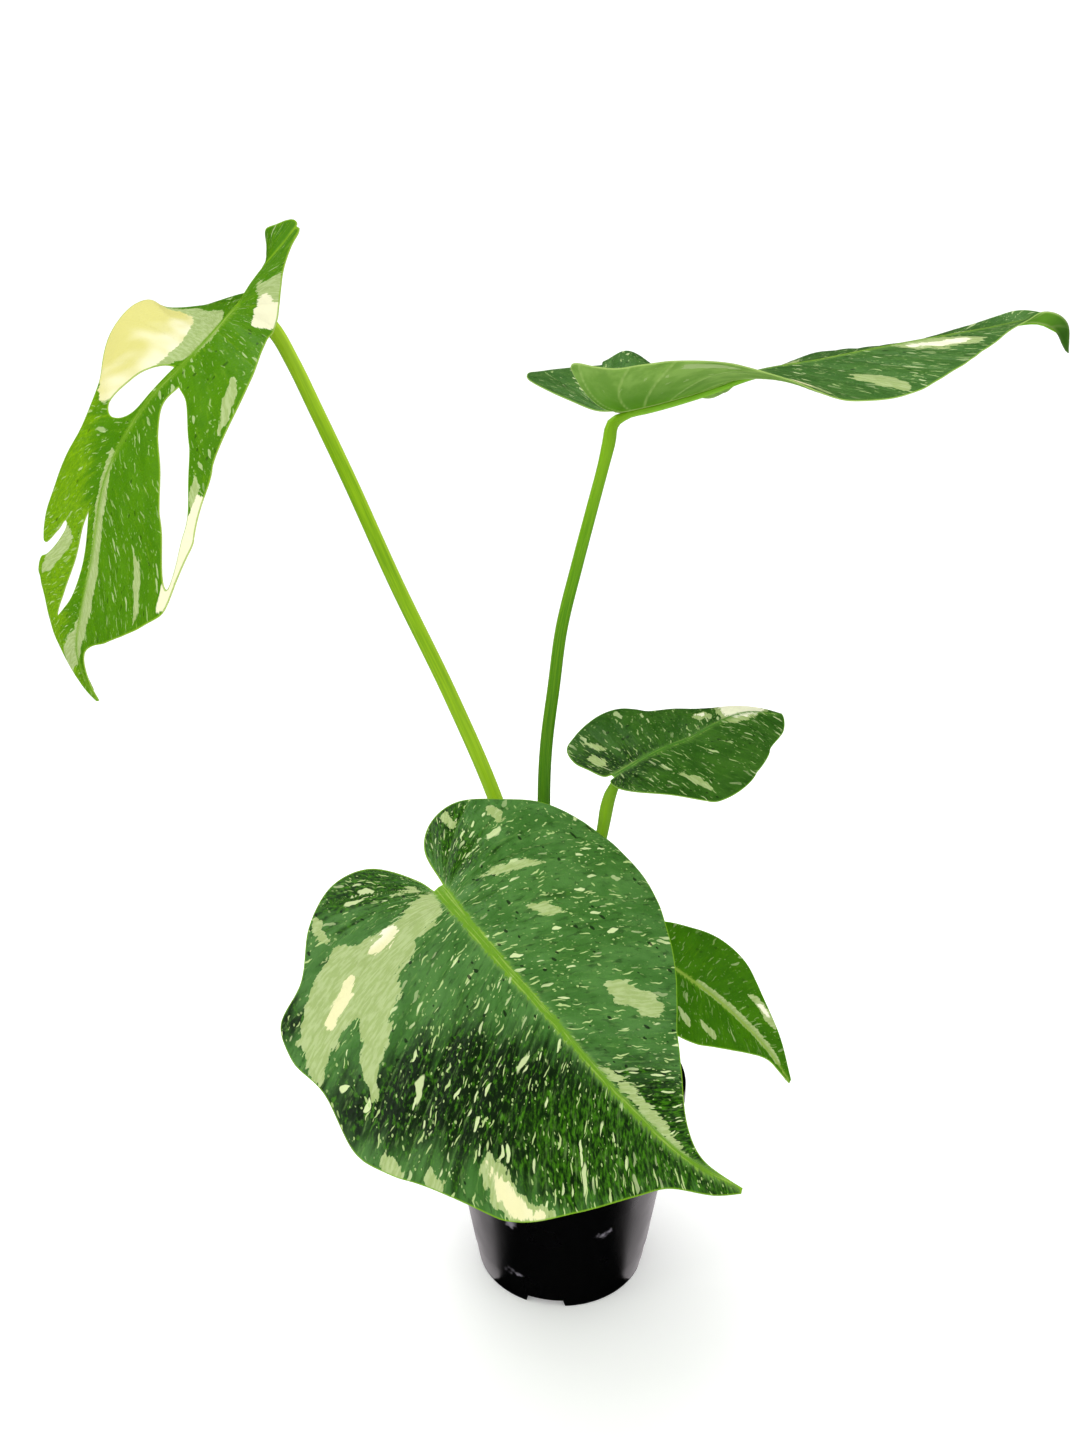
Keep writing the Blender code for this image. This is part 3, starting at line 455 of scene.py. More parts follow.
def eased(where, stations, values):
    """The values between the stations, on one smooth curve."""
    where = np.asarray(where, float)
    stations = np.asarray(stations, float)
    values = np.asarray(values, float)
    slopes = np.gradient(values, stations, axis=0)
    i = np.clip(np.searchsorted(stations, where) - 1, 0, len(stations) - 2)
    span = stations[i + 1] - stations[i]
    t = np.clip((where - stations[i]) / span, 0, 1)
    if values.ndim > 1:
        t, span = t[..., None], span[..., None]
    start = (2 * t**3 - 3 * t**2 + 1) * values[i] + (t**3 - 2 * t**2 + t) * span * slopes[i]
    end = (3 * t**2 - 2 * t**3) * values[i + 1] + (t**3 - t**2) * span * slopes[i + 1]
    return start + end


class Blade:
    """One leaf's blade: its flat outline, and how the flat blade is bent in space."""

    def __init__(self, leaf):
        self.leaf = leaf
        behind = leaf.get("lobe_spine", [])[::-1]
        spine = smooth_through(behind + leaf["midrib"], CURVE_STEPS)
        along = travelled(spine)
        along -= along[len(behind) * CURVE_STEPS]
        self.start = along[0]
        self.length = along[-1]
        self.along = np.linspace(self.start, self.length, 300)
        self.spine = read(self.along, along, spine)
        self.tangent = unit(np.gradient(self.spine, self.along, axis=0))
        shares = [share for share, _ in leaf["facing"]]
        facing = eased(self.along / self.length, shares, [unit(look) for _, look in leaf["facing"]])
        lean = (facing * self.tangent).sum(-1, keepdims=True)
        self.normal = unit(facing - lean * self.tangent)
        self.across = np.cross(self.tangent, self.normal)

    def read(self, along, table):
        return read(along, self.along, table)

    def angles(self, side, along):
        """How far a half is folded up and how far it curls on, in radians."""
        shares, *angles = zip(*self.leaf[side])
        return [np.radians(eased(along / self.length, shares, angle)) for angle in angles]

    def place(self, across, along):
        """Where points of the flat blade lie in space."""
        beyond = np.minimum(along - self.start, 0) + np.maximum(along - self.length, 0)
        middle = self.read(along, self.spine) + beyond[..., None] * self.read(along, self.tangent)
        out = np.zeros_like(along)
        up = np.zeros_like(along)
        reach = np.abs(across)
        for side, sign in (("right", 1), ("left", -1)):
            fold, curl = self.angles(side, along)
            curl = curl / self.leaf["half_width"]
            curl = np.where(np.abs(curl) < 1e-6, 1e-6, curl)
            mine = across >= 0 if sign > 0 else across < 0
            out = np.where(mine, sign * (np.sin(fold + curl * reach) - np.sin(fold)) / curl, out)
            up = np.where(mine, (np.cos(fold) - np.cos(fold + curl * reach)) / curl, up)
        side_ways = self.read(along, self.across) * out[..., None]
        return middle + side_ways + self.read(along, self.normal) * up[..., None]

    def loops(self):
        """The closed outline, then each hole, as flat points."""
        right = smooth_through(self.leaf["outline_right"], SPAN_STEPS)
        left = smooth_through(self.leaf["outline_left"], SPAN_STEPS)
        holes = [closed_through(hole, HOLE_STEPS) for hole in self.leaf.get("holes", [])]
        return [np.vstack([right, left[-2::-1]]), *holes]

    def midrib_half(self, along):
        """Half the width of the bright midrib: it flares at the joint and thins toward the tip."""
        share = np.clip(along / self.length, 0, 1)
        flare = MIDRIB_FLARE * np.exp(-np.maximum(along, 0.0) / MIDRIB_FLARE_REACH)
        return self.leaf["midrib_width"] * (1 - MIDRIB_THINNING * share + flare)


def nearest_on(loops, points):
    """For each point, the nearest point of the loops and how far it is."""
    best = np.full(len(points), np.inf)
    place = np.zeros((len(points), 2))
    for loop in loops:
        for a, b in zip(loop, np.roll(loop, -1, axis=0)):
            edge = b - a
            share = np.clip(((points - a) @ edge) / max(edge @ edge, 1e-9), 0, 1)
            foot = a + share[:, None] * edge
            reach = np.linalg.norm(points - foot, axis=1)
            closer = reach < best
            best = np.where(closer, reach, best)
            place[closer] = foot[closer]
    return place, best


def inside(points, loop):
    """For each point, whether it lies inside the loop."""
    odd = np.zeros(len(points), bool)
    for a, b in zip(loop, np.roll(loop, -1, axis=0)):
        spans = (a[1] > points[:, 1]) != (b[1] > points[:, 1])
        rise = b[1] - a[1] if b[1] != a[1] else 1.0
        odd ^= spans & (points[:, 0] < a[0] + (b[0] - a[0]) * (points[:, 1] - a[1]) / rise)
    return odd


def soft_step(value, low, high):
    """How far the value is from low to high, from 0 to 1, eased at both ends."""
    share = np.clip((value - low) / (high - low), 0, 1)
    return share * share * (3 - 2 * share)


def mark_depth(shapes, points):
    """How far each point lies inside the nearest marked shape, in millimetres, or below zero outside."""
    depth = np.full(len(points), OUTSIDE)
    for shape in shapes:
        loop = closed_through(shape, MARK_STEPS)
        _, reach = nearest_on([loop], points)
        depth = np.maximum(depth, np.where(inside(points, loop), reach, -reach))
    return depth


def side_veins(length, spacing):
    """The side veins of one half: where each leaves the midrib, and at what angle from the tip."""
    size = spacing / VEIN_FAN_SPACING
    veins = [(start * size, angle) for start, angle in VEIN_FAN]
    start = veins[-1][0] + spacing * 0.8
    angle = VEIN_ANGLE
    while start < length:
        veins.append((start, angle))
        start += spacing
        angle = max(angle - VEIN_CLOSING, VEIN_LEAST_ANGLE)
    return veins


def vein_place(points, length, spacing):
    """Each point's place among the side veins: number across them, distance out along them,
    distance from the nearest one, and share of the way from one to the next."""
    out = np.abs(points[:, 0])
    heights, travels, slants = [], [], []
    for start, angle in side_veins(length, spacing):
        travel = np.arange(0.0, VEIN_REACH, VEIN_STEP)
        bend = 0.45 if angle > 100 else 0.22
        heading = np.radians(np.maximum(angle - bend * travel, 20.0))
        x = np.concatenate([[0.0], np.cumsum(np.sin(heading[:-1]) * VEIN_STEP)])
        y = start + np.concatenate([[0.0], np.cumsum(np.cos(heading[:-1]) * VEIN_STEP)])
        heights.append(np.interp(out, x, y))
        travels.append(np.interp(out, x, travel))
        slants.append(np.interp(out, x, np.sin(heading)))
    heights = np.stack(heights, -1)
    rows = np.arange(len(points))
    lower = np.clip((heights < points[:, 1:2]).sum(axis=1) - 1, 0, heights.shape[1] - 2)
    gap = np.maximum(heights[rows, lower + 1] - heights[rows, lower], 0.3)
    share = (points[:, 1] - heights[rows, lower]) / gap
    travel = np.stack(travels, -1)[rows, lower]
    width = gap * np.stack(slants, -1)[rows, lower]
    near = np.minimum(np.abs(share), np.abs(1 - share)) * width
    return lower + np.clip(share, -2, 3), travel, near, np.clip(share, 0, 1)


def flat_points(verts):
    return np.array([v.co.xy for v in verts])


def trimmed_grid(loops):
    """A flat grid cut to the leaf's outline and holes, with its border moved onto them."""
    low = loops[0].min(axis=0)
    high = loops[0].max(axis=0)
    columns = 2 * math.ceil((max(-low[0], high[0]) + CELL) / CELL)
    rows = math.ceil((high[1] - low[1] + 2 * CELL) / CELL)
    shape = bmesh.new()
    bmesh.ops.create_grid(shape, x_segments=columns, y_segments=rows, size=0.5)
    flat = flat_points(shape.verts)
    spread = flat.max(axis=0) - flat.min(axis=0)
    size = Vector((columns * CELL / spread[0], rows * CELL / spread[1], 1.0))
    bmesh.ops.scale(shape, verts=shape.verts, vec=size)
    bmesh.ops.translate(shape, verts=shape.verts, vec=Vector((0.0, (low[1] + high[1]) / 2, 0.0)))
    centres = np.array([f.calc_center_median().xy for f in shape.faces])
    kept = inside(centres, loops[0])
    for hole in loops[1:]:
        kept &= ~inside(centres, hole)
    outside = [face for face, keep in zip(shape.faces, kept) if not keep]
    bmesh.ops.delete(shape, geom=outside, context="FACES")
    for _ in range(2):
        spikes = [f for f in shape.faces if sum(e.is_boundary for e in f.edges) > 2]
        bmesh.ops.delete(shape, geom=spikes, context="FACES")
    border = [v for v in shape.verts if v.is_boundary]
    for v, spot in zip(border, nearest_on(loops, flat_points(border))[0]):
        v.co.x, v.co.y = spot
    inner = [v for v in shape.verts if not v.is_boundary]
    _, reach = nearest_on(loops, flat_points(inner))
    near = [v for v, r in zip(inner, reach) if r < 2.5 * CELL and abs(v.co.x) > 0.5 * CELL]
    for _ in range(3):
        bmesh.ops.smooth_vert(shape, verts=near, factor=0.5, use_axis_x=True, use_axis_y=True)
    return shape


def blade_relief(blade, flat, edge, number, travel, near, share):
    """How far the upper and the lower skin stand off the blade's middle, in millimetres."""
    x = flat[:, 0]
    relief, phase = blade.leaf["relief"], blade.leaf["half_width"]
    out = soft_step(np.abs(x), 1.0, 9.0)
    inboard = soft_step(edge, 0.0, 7.0)
    quilt = np.sin(np.pi * share) ** 2
    wave = np.sin(2 * np.pi * number + np.sign(x) + 0.7 * np.sin(number * 2.3 + phase))
    slow = np.sin(number * 2.1 + 2.0 * np.sign(x) + phase)
    rim = soft_step(travel, 12.0, 45.0) * (1 - soft_step(edge, 0.0, 16.0))
    bend = relief * (QUILTING * quilt * out * inboard + (RIPPLES * wave + SWELLS * slow) * rim)
    groove = np.exp(-((near / GROOVE_WIDTH) ** 2))
    groove = groove * soft_step(np.abs(x), 1.5, 5.0) * soft_step(edge, 0.0, 4.0)
    ridge_width = RIDGE_SPREAD * blade.midrib_half(flat[:, 1])
    ridge = np.exp(-((x / ridge_width) ** 2)) * soft_step(edge, 0.0, 3.0)
    upper = bend - relief * GROOVES * groove + RIDGE_ABOVE * ridge
    return upper, bend - GROOVE_BELOW * groove - RIDGE_BELOW * ridge


def make_blade(leaf, materials):
    """The blade: a grid trimmed flat, marked, bent to its place, and given two skins."""
    blade = Blade(leaf)
    loops = blade.loops()
    shape = trimmed_grid(loops)
    flat = flat_points(shape.verts)
    across, along = flat.T
    _, edge = nearest_on(loops, flat)
    number, travel, near, share = vein_place(flat, blade.length, leaf["vein_spacing"])
    notes = {
        "across": across,
        "along": along,
        "vein_number": number * leaf["vein_spacing"] + np.where(across < 0, OTHER_HALF, 0.0),
        "vein_travel": travel,
        "vein_near": near,
        "edge": edge,
        "midrib": blade.midrib_half(along) - np.hypot(across, np.minimum(along, 0.0)),
    }
    for mark in ("sage", "cream", "dark", "vivid"):
        notes[mark] = mark_depth(leaf.get(mark, []), flat)
    layers = shape.verts.layers
    for name, values in notes.items():
        layer = layers.float.new(name)
        for v, value in zip(shape.verts, values):
            v[layer] = value
    order = layers.int.new("order")
    for index, (v, place) in enumerate(zip(shape.verts, blade.place(across, along))):
        v.co = place
        v[order] = index
    shape.normal_update()
    facing = np.array([v.normal for v in shape.verts])
    facing *= np.sign((facing * blade.read(along, blade.normal)).sum(-1))[:, None]
    middle = np.array([v.co for v in shape.verts])
    half_wall = 0.5 * np.where(edge < 0.5 * CELL, MARGIN_THICKNESS, BLADE_THICKNESS)[:, None]
    upper, lower = blade_relief(blade, flat, edge, number, travel, near, share)
    top = middle + facing * (upper[:, None] + half_wall)
    under = middle + facing * (lower[:, None] - half_wall)
    made = bmesh.ops.extrude_face_region(shape, geom=list(shape.faces), use_keep_orig=True)["geom"]
    lifted = {v for v in made if isinstance(v, bmesh.types.BMVert)}
    for v in shape.verts:
        v.co = (top if v in lifted else under)[v[order]]
    for face in shape.faces:
        face.material_index = 1
    for face in made:
        if isinstance(face, bmesh.types.BMFace):
            face.material_index = 0
    layers.int.remove(layers.int["order"])
    to_metres(shape)
    piece = new_piece("leaf_" + leaf["name"], shape, materials)
    piece.data.set_sharp_from_angle(angle=math.radians(60))
    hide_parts("blade_" + leaf["name"])


def to_metres(shape):
    """Finishes a shape that was made in millimetres, all of it smooth."""
    bmesh.ops.recalc_face_normals(shape, faces=shape.faces)
    for face in shape.faces:
        face.smooth = True
    bmesh.ops.scale(shape, verts=shape.verts, vec=(MM, MM, MM))


def join_rings(shape, rings):
    """Joins rings of points into one closed skin."""
    loops = [list({e for v in ring for e in v.link_edges}) for ring in rings]
    for below, above in zip(loops, loops[1:]):
        bmesh.ops.bridge_loops(shape, edges=below + above)
    bmesh.ops.holes_fill(shape, edges=[e for e in shape.edges if e.is_boundary])
    to_metres(shape)


def make_object(name, shape):
    mesh = bpy.data.meshes.new(name)
    shape.to_mesh(mesh)
    shape.free()
    made = bpy.data.objects.new(name, mesh)
    bpy.context.scene.collection.objects.link(made)
    return made


def new_piece(name, shape, materials):
    """Turns a bmesh into a piece of the plant that rides on the one body."""
    piece = make_object(name, shape)
    for material in materials:
        piece.data.materials.append(material)
    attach(piece, "root")
    return piece


def stalk_route(leaf, blade):
    """The stalk's middle line and on under the blade as its rib: points, radii, distance from the
    foot at each, and the joint's distance."""
    foot_radius, joint_radius = leaf["stalk_radii"]
    rib_along = np.linspace(RIB_START, blade.length * RIB_REACH, RIB_STATIONS)
    rib_radius = np.linspace(joint_radius * RIB_SHARE, RIB_TIP_RADIUS, RIB_STATIONS)
    droop = np.minimum(blade.angles("right", rib_along)[0], blade.angles("left", rib_along)[0])
    seat = (rib_radius + BLADE_THICKNESS / 2) / np.cos(np.minimum(droop, 0.0))
    rib = blade.read(rib_along, blade.spine) - blade.read(rib_along, blade.normal) * seat[:, None]
    guide = np.vstack([leaf["stalk"], rib])
    count = len(leaf["stalk"])
    lengths = travelled(guide)[:count]
    foot = np.interp(lengths, [0.0, lengths[-1]], [foot_radius, joint_radius])
    route = smooth_through(guide, SPAN_STEPS)
    ways = travelled(route)
    travel = np.linspace(0, ways[-1], math.ceil(ways[-1] / STALK_STEP))
    radii = np.interp(travel, ways[::SPAN_STEPS], np.concatenate([foot, rib_radius]))
    return read(travel, ways, route), radii, travel, ways[(count - 1) * SPAN_STEPS]


def make_stalk(leaf, material):
    """A tapering tube with a shallow channel along its upper side and a swollen joint and foot."""
    blade = Blade(leaf)
    points, radii, travel, joint = stalk_route(leaf, blade)
    tangents = unit(np.gradient(points, axis=0))
    side = blade.read(np.array([0.0]), blade.normal)[0]
    sides = []
    for tangent in tangents[::-1]:
        side = unit(side - (side @ tangent) * tangent)
        sides.append(side)
    from_swell = travel - joint + JOINT_SWELL_BEFORE
    radii = radii + JOINT_SWELL * np.exp(-((from_swell / JOINT_SWELL_WIDTH) ** 2))
    radii = radii + FOOT_SWELL * np.exp(-((travel / FOOT_SWELL_WIDTH) ** 2))
    shape = bmesh.new()
    round_layer, rib_layer, travel_layer = (
        shape.verts.layers.float.new(name) for name in ("round", "rib", "travel")
    )
    rings = []
    for point, tangent, upper, radius, way in zip(points, tangents, sides[::-1], radii, travel):
        turn = Matrix((Vector(np.cross(upper, tangent)), Vector(upper), Vector(tangent)))
        turn = turn.transposed().to_4x4()
        turn.translation = Vector(point)
        ring = bmesh.ops.create_circle(shape, segments=STALK_SIDES, radius=1.0)["verts"]
        for v in ring:
            angle = math.atan2(v.co.x, v.co.y)
            channel = CHANNEL_DEPTH * math.exp(-((angle / CHANNEL_ANGLE) ** 2))
            ridges = RIDGE * math.cos(RIDGE_COUNT * angle + 1.0)
            v.co = v.co * radius * (1.0 - channel + ridges)
            v[round_layer] = abs(angle)
            v[travel_layer] = way
            v[rib_layer] = way - joint
        bmesh.ops.transform(shape, matrix=turn, verts=ring)
        rings.append(ring)
    join_rings(shape, rings)
    piece = new_piece("leafstalk_" + leaf["name"], shape, [material])
    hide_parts("stalk_" + leaf["name"])


def pot_wall_radius(height):
    """The outer radius of the tapering wall."""
    top = POT_LIP_RADIUS - LIP_OVERHANG
    return POT_FOOT_RADIUS + (top - POT_FOOT_RADIUS) * height / POT_HEIGHT


def inside_radius(height):
    """The radius of the pot's hollow below the step in its foot."""
    return pot_wall_radius(height) - FOOT_STEP - POT_WALL


def make_pot(material):
    """A thin moulded tub spun from its profile, its corners rounded, with four notches at the foot."""
    lip_foot = POT_HEIGHT - LIP_DEPTH
    foot = POT_FOOT_RADIUS - FOOT_STEP
    profile = [
        (0.0, POT_FLOOR),
        (inside_radius(POT_FLOOR), POT_FLOOR),
        (inside_radius(STEP_FOOT), STEP_FOOT),
        (LIP_INSIDE, POT_HEIGHT),
        (POT_LIP_RADIUS, POT_HEIGHT),
        (POT_LIP_RADIUS, lip_foot),
        (pot_wall_radius(lip_foot), lip_foot),
        (pot_wall_radius(FOOT_STEP_HEIGHT), FOOT_STEP_HEIGHT),
        (pot_wall_radius(STEP_FOOT) - FOOT_STEP, STEP_FOOT),
        (foot, 0.0),
        (0.0, 0.0),
    ]
    shape = bmesh.new()
    corners = [shape.verts.new(Vector((r, 0.0, z)) * MM) for r, z in profile]
    line = [shape.edges.new(pair) for pair in zip(corners, corners[1:])]
    spin = dict(cent=(0, 0, 0), axis=(0, 0, 1), angle=2 * math.pi, steps=POT_SIDES, use_merge=True)
    bmesh.ops.spin(shape, geom=corners + line, **spin)
    bmesh.ops.remove_doubles(shape, verts=shape.verts, dist=1e-6)
    bmesh.ops.recalc_face_normals(shape, faces=shape.faces)
    for radius, height, rounding in (
        (LIP_INSIDE, POT_HEIGHT, 0.4),
        (POT_LIP_RADIUS, POT_HEIGHT, 0.9),
        (POT_LIP_RADIUS, lip_foot, 0.7),
        (pot_wall_radius(lip_foot), lip_foot, 0.4),
        (foot, 0.0, 0.6),
    ):
        ring = []
        for edge in shape.edges:
            ends = [(math.hypot(v.co.x, v.co.y) / MM, v.co.z / MM) for v in edge.verts]
            if all(abs(z - height) < 0.01 and abs(r - radius) < 0.1 for r, z in ends):
                ring.append(edge)
        bevel = dict(offset=rounding * MM, segments=4, profile=0.5, affect="EDGES", material=-1)
        bmesh.ops.bevel(shape, geom=ring, **bevel)
    pot = new_piece("pot_black", shape, [material])
    for k in range(NOTCH_COUNT):
        cut_notch(pot, NOTCH_TURN + k * 2 * math.pi / NOTCH_COUNT)
    for face in pot.data.polygons:
        face.use_smooth = True
    pot.data.set_sharp_from_angle(angle=math.radians(35))
    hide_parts("nursery_pot")


def cut_notch(pot, turn):
    """Cuts one drain notch out of the foot, narrower at its top."""
    shape = bmesh.new()
    bmesh.ops.create_cube(shape, size=1.0)
    size = Vector((NOTCH_DEPTH, NOTCH_WIDTH, 2 * NOTCH_HEIGHT)) * MM
    bmesh.ops.scale(shape, verts=shape.verts, vec=size)
    upper = [v for v in shape.verts if v.co.z > 0]
    bmesh.ops.scale(shape, verts=upper, vec=(1.0, NOTCH_TOP_SHARE, 1.0))
    reach = POT_FOOT_RADIUS - NOTCH_DEPTH / 2 + NOTCH_BEYOND
    place = Matrix.Translation(Vector((reach * math.cos(turn), reach * math.sin(turn), 0.0)) * MM)
    bmesh.ops.transform(shape, matrix=place @ Matrix.Rotation(turn, 4, "Z"), verts=shape.verts)
    cutter = make_object("notch", shape)
    modifier = pot.modifiers.new("notch", "BOOLEAN")
    modifier.operation = "DIFFERENCE"
    modifier.solver = "EXACT"
    modifier.object = cutter
    bpy.context.view_layer.update()
    cut = bpy.data.meshes.new_from_object(pot.evaluated_get(bpy.context.evaluated_depsgraph_get()))
    pot.modifiers.remove(modifier)
    pot.data = cut
    bpy.data.objects.remove(cutter)


def make_stem(material):
    """The stem with a raised ring and a dry scar at each old leaf, and a blunt growing tip."""
    foot, top = np.array(STEM_FOOT), np.array(STEM_TOP)
    shape = bmesh.new()
    scar_layer = shape.verts.layers.float.new("scar")
    rings = []
    for step in range(STEM_STEPS + 1):
        share = step / STEM_STEPS
        height = share * (top[2] - foot[2])
        nearest = abs((height / STEM_RING_SPACING + 0.5) % 1.0 - 0.5) * STEM_RING_SPACING
        scar = math.exp(-((nearest / STEM_RING_WIDTH) ** 2))
        rise = max(share - STEM_DOME_FROM, 0.0) / STEM_DOME_REACH
        dome = math.sqrt(max(1.0 - rise**2, STEM_DOME_LEAST**2))
        ring = bmesh.ops.create_circle(shape, segments=STEM_SIDES, radius=1.0)["verts"]
        for v in ring:
            angle = math.atan2(v.co.y, v.co.x)
            lean = 0.25 * math.sin(2 * angle + height * 0.12) + 0.12 * math.sin(5 * angle - height * 0.3)
            v.co = v.co * ((STEM_RADIUS + STEM_RING * scar + lean) * dome)
            v[scar_layer] = scar
        bmesh.ops.translate(shape, verts=ring, vec=Vector(foot + share * (top - foot)))
        rings.append(ring)
    join_rings(shape, rings)
    stem = new_piece("stem_ringed", shape, [material])
    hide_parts("stem")


def mix_height(x, y):
    """The lumpy top of the potting mix."""
    u, v = x / MIX_LUMP_SIZE, y / MIX_LUMP_SIZE
    waves = sum(size * math.sin(p * u + q * v + start) for p, q, start, size in MIX_WAVES)
    return MIX_TOP + MIX_LUMP * math.tanh(MIX_FLATTEN * waves)


def make_mix(material, chip_material):
    """The bed of damp crumb, with bark chips and a few white grains lying on it."""
    share = (MIX_TOP - STEP_FOOT) / (POT_HEIGHT - STEP_FOOT)
    top_radius = inside_radius(STEP_FOOT) * (1 - share) + LIP_INSIDE * share - MIX_CLEAR
    levels = [(inside_radius(POT_FLOOR) - MIX_CLEAR, POT_FLOOR + MIX_ABOVE_FLOOR)]
    levels.append((inside_radius(STEP_FOOT) - MIX_CLEAR, STEP_FOOT))
    levels += [(top_radius * (1 - k / MIX_RINGS) ** 0.9, None) for k in range(MIX_RINGS)]
    shape = bmesh.new()
    rings = []
    for radius, height in levels:
        ring = bmesh.ops.create_circle(shape, segments=MIX_SIDES, radius=radius)["verts"]
        for v in ring:
            v.co.z = mix_height(v.co.x, v.co.y) if height is None else height
        rings.append(ring)
    join_rings(shape, rings)
    bed = new_piece("potting_bed", shape, [material])
    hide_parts("potting_mix")
    scatter_chips(top_radius - CHIP_INSET, chip_material)


def scatter_chips(radius, material):
    """Rough-cut chips of bark and rounder white grains, scattered over the bed and tilted a little."""
    draw = random.Random(CHIP_SEED)
    shape = bmesh.new()
    tone = shape.verts.layers.float.new("tone")
    for number in range(CHIPS):
        turn = draw.uniform(0, 2 * math.pi)
        reach = math.sqrt(draw.uniform(0.03, 1.0)) * radius
        x, y = reach * math.cos(turn), reach * math.sin(turn)
        white = number % GRAIN_EVERY == 0
        size = draw.uniform(*(GRAIN_SIZES if white else CHIP_SIZES))
        form = Vector((size, size * draw.uniform(0.4, 0.8), size * draw.uniform(0.22, 0.45)))
        if white:
            form = Vector((size, size * 0.85, size * 0.8))
        tilt = Matrix.Rotation(draw.uniform(-0.5, 0.5), 4, "X")
        tilt = tilt @ Matrix.Rotation(draw.uniform(-0.4, 0.4), 4, "Y")
        place = Matrix.Translation((x, y, mix_height(x, y) + form.z * 0.3))
        place = place @ Matrix.Rotation(draw.uniform(0, 2 * math.pi), 4, "Z") @ tilt
        chip = bmesh.ops.create_icosphere(shape, subdivisions=1, radius=0.6)["verts"]
        for v in chip:
            v.co = v.co * draw.uniform(0.8, 1.15)
            v[tone] = 1.0 if white else draw.uniform(0.0, 0.15) + (number % 7) * 0.08
        bmesh.ops.scale(shape, verts=chip, vec=form)
        bmesh.ops.transform(shape, matrix=place, verts=chip)
    bmesh.ops.scale(shape, verts=shape.verts, vec=(MM, MM, MM))
    new_piece("bark_chips", shape, [material])


class Wire:
    """An output of a shader node. Sums and products of wires and numbers add their own nodes."""

    def __init__(self, socket):
        self.socket = socket

    def __getitem__(self, output):
        return Wire(self.socket.node.outputs[output])

    def __add__(self, other):
        return add(self.socket.id_data, "Math", (self, other), operation="ADD")

    def __sub__(self, other):
        return add(self.socket.id_data, "Math", (self, other), operation="SUBTRACT")

    def __mul__(self, other):
        return add(self.socket.id_data, "Math", (self, other), operation="MULTIPLY")

    def __truediv__(self, other):
        return add(self.socket.id_data, "Math", (self, other), operation="DIVIDE")


def colour(code):
    """An sRGB hex colour as the linear one that shaders take."""
    parts = [int(code[i : i + 2], 16) / 255 for i in (1, 3, 5)]
    return tuple(p / 12.92 if p <= 0.04045 else ((p + 0.055) / 1.055) ** 2.4 for p in parts) + (1.0,)


def fill(node, inputs):
    """Gives each input, by name or in order, its number, its hex colour or the wire linked to it."""
    for key, value in inputs.items() if isinstance(inputs, dict) else enumerate(inputs):
        socket = node.inputs[key]
        if isinstance(value, Wire):
            socket.id_data.links.new(value.socket, socket)
        else:
            socket.default_value = colour(value) if isinstance(value, str) else value


def add(tree, kind, inputs=(), **settings):
    """Adds a shader node with its settings and links, and returns its first output."""
    made = tree.nodes.new("ShaderNode" + kind)
    for name, value in settings.items():
        setattr(made, name, value)
    fill(made, inputs)
    return Wire(made.outputs[0])


# A soft step: a map range with these settings takes its value, from low to high, to start to end
SOFT = {"interpolation_type": "SMOOTHSTEP"}


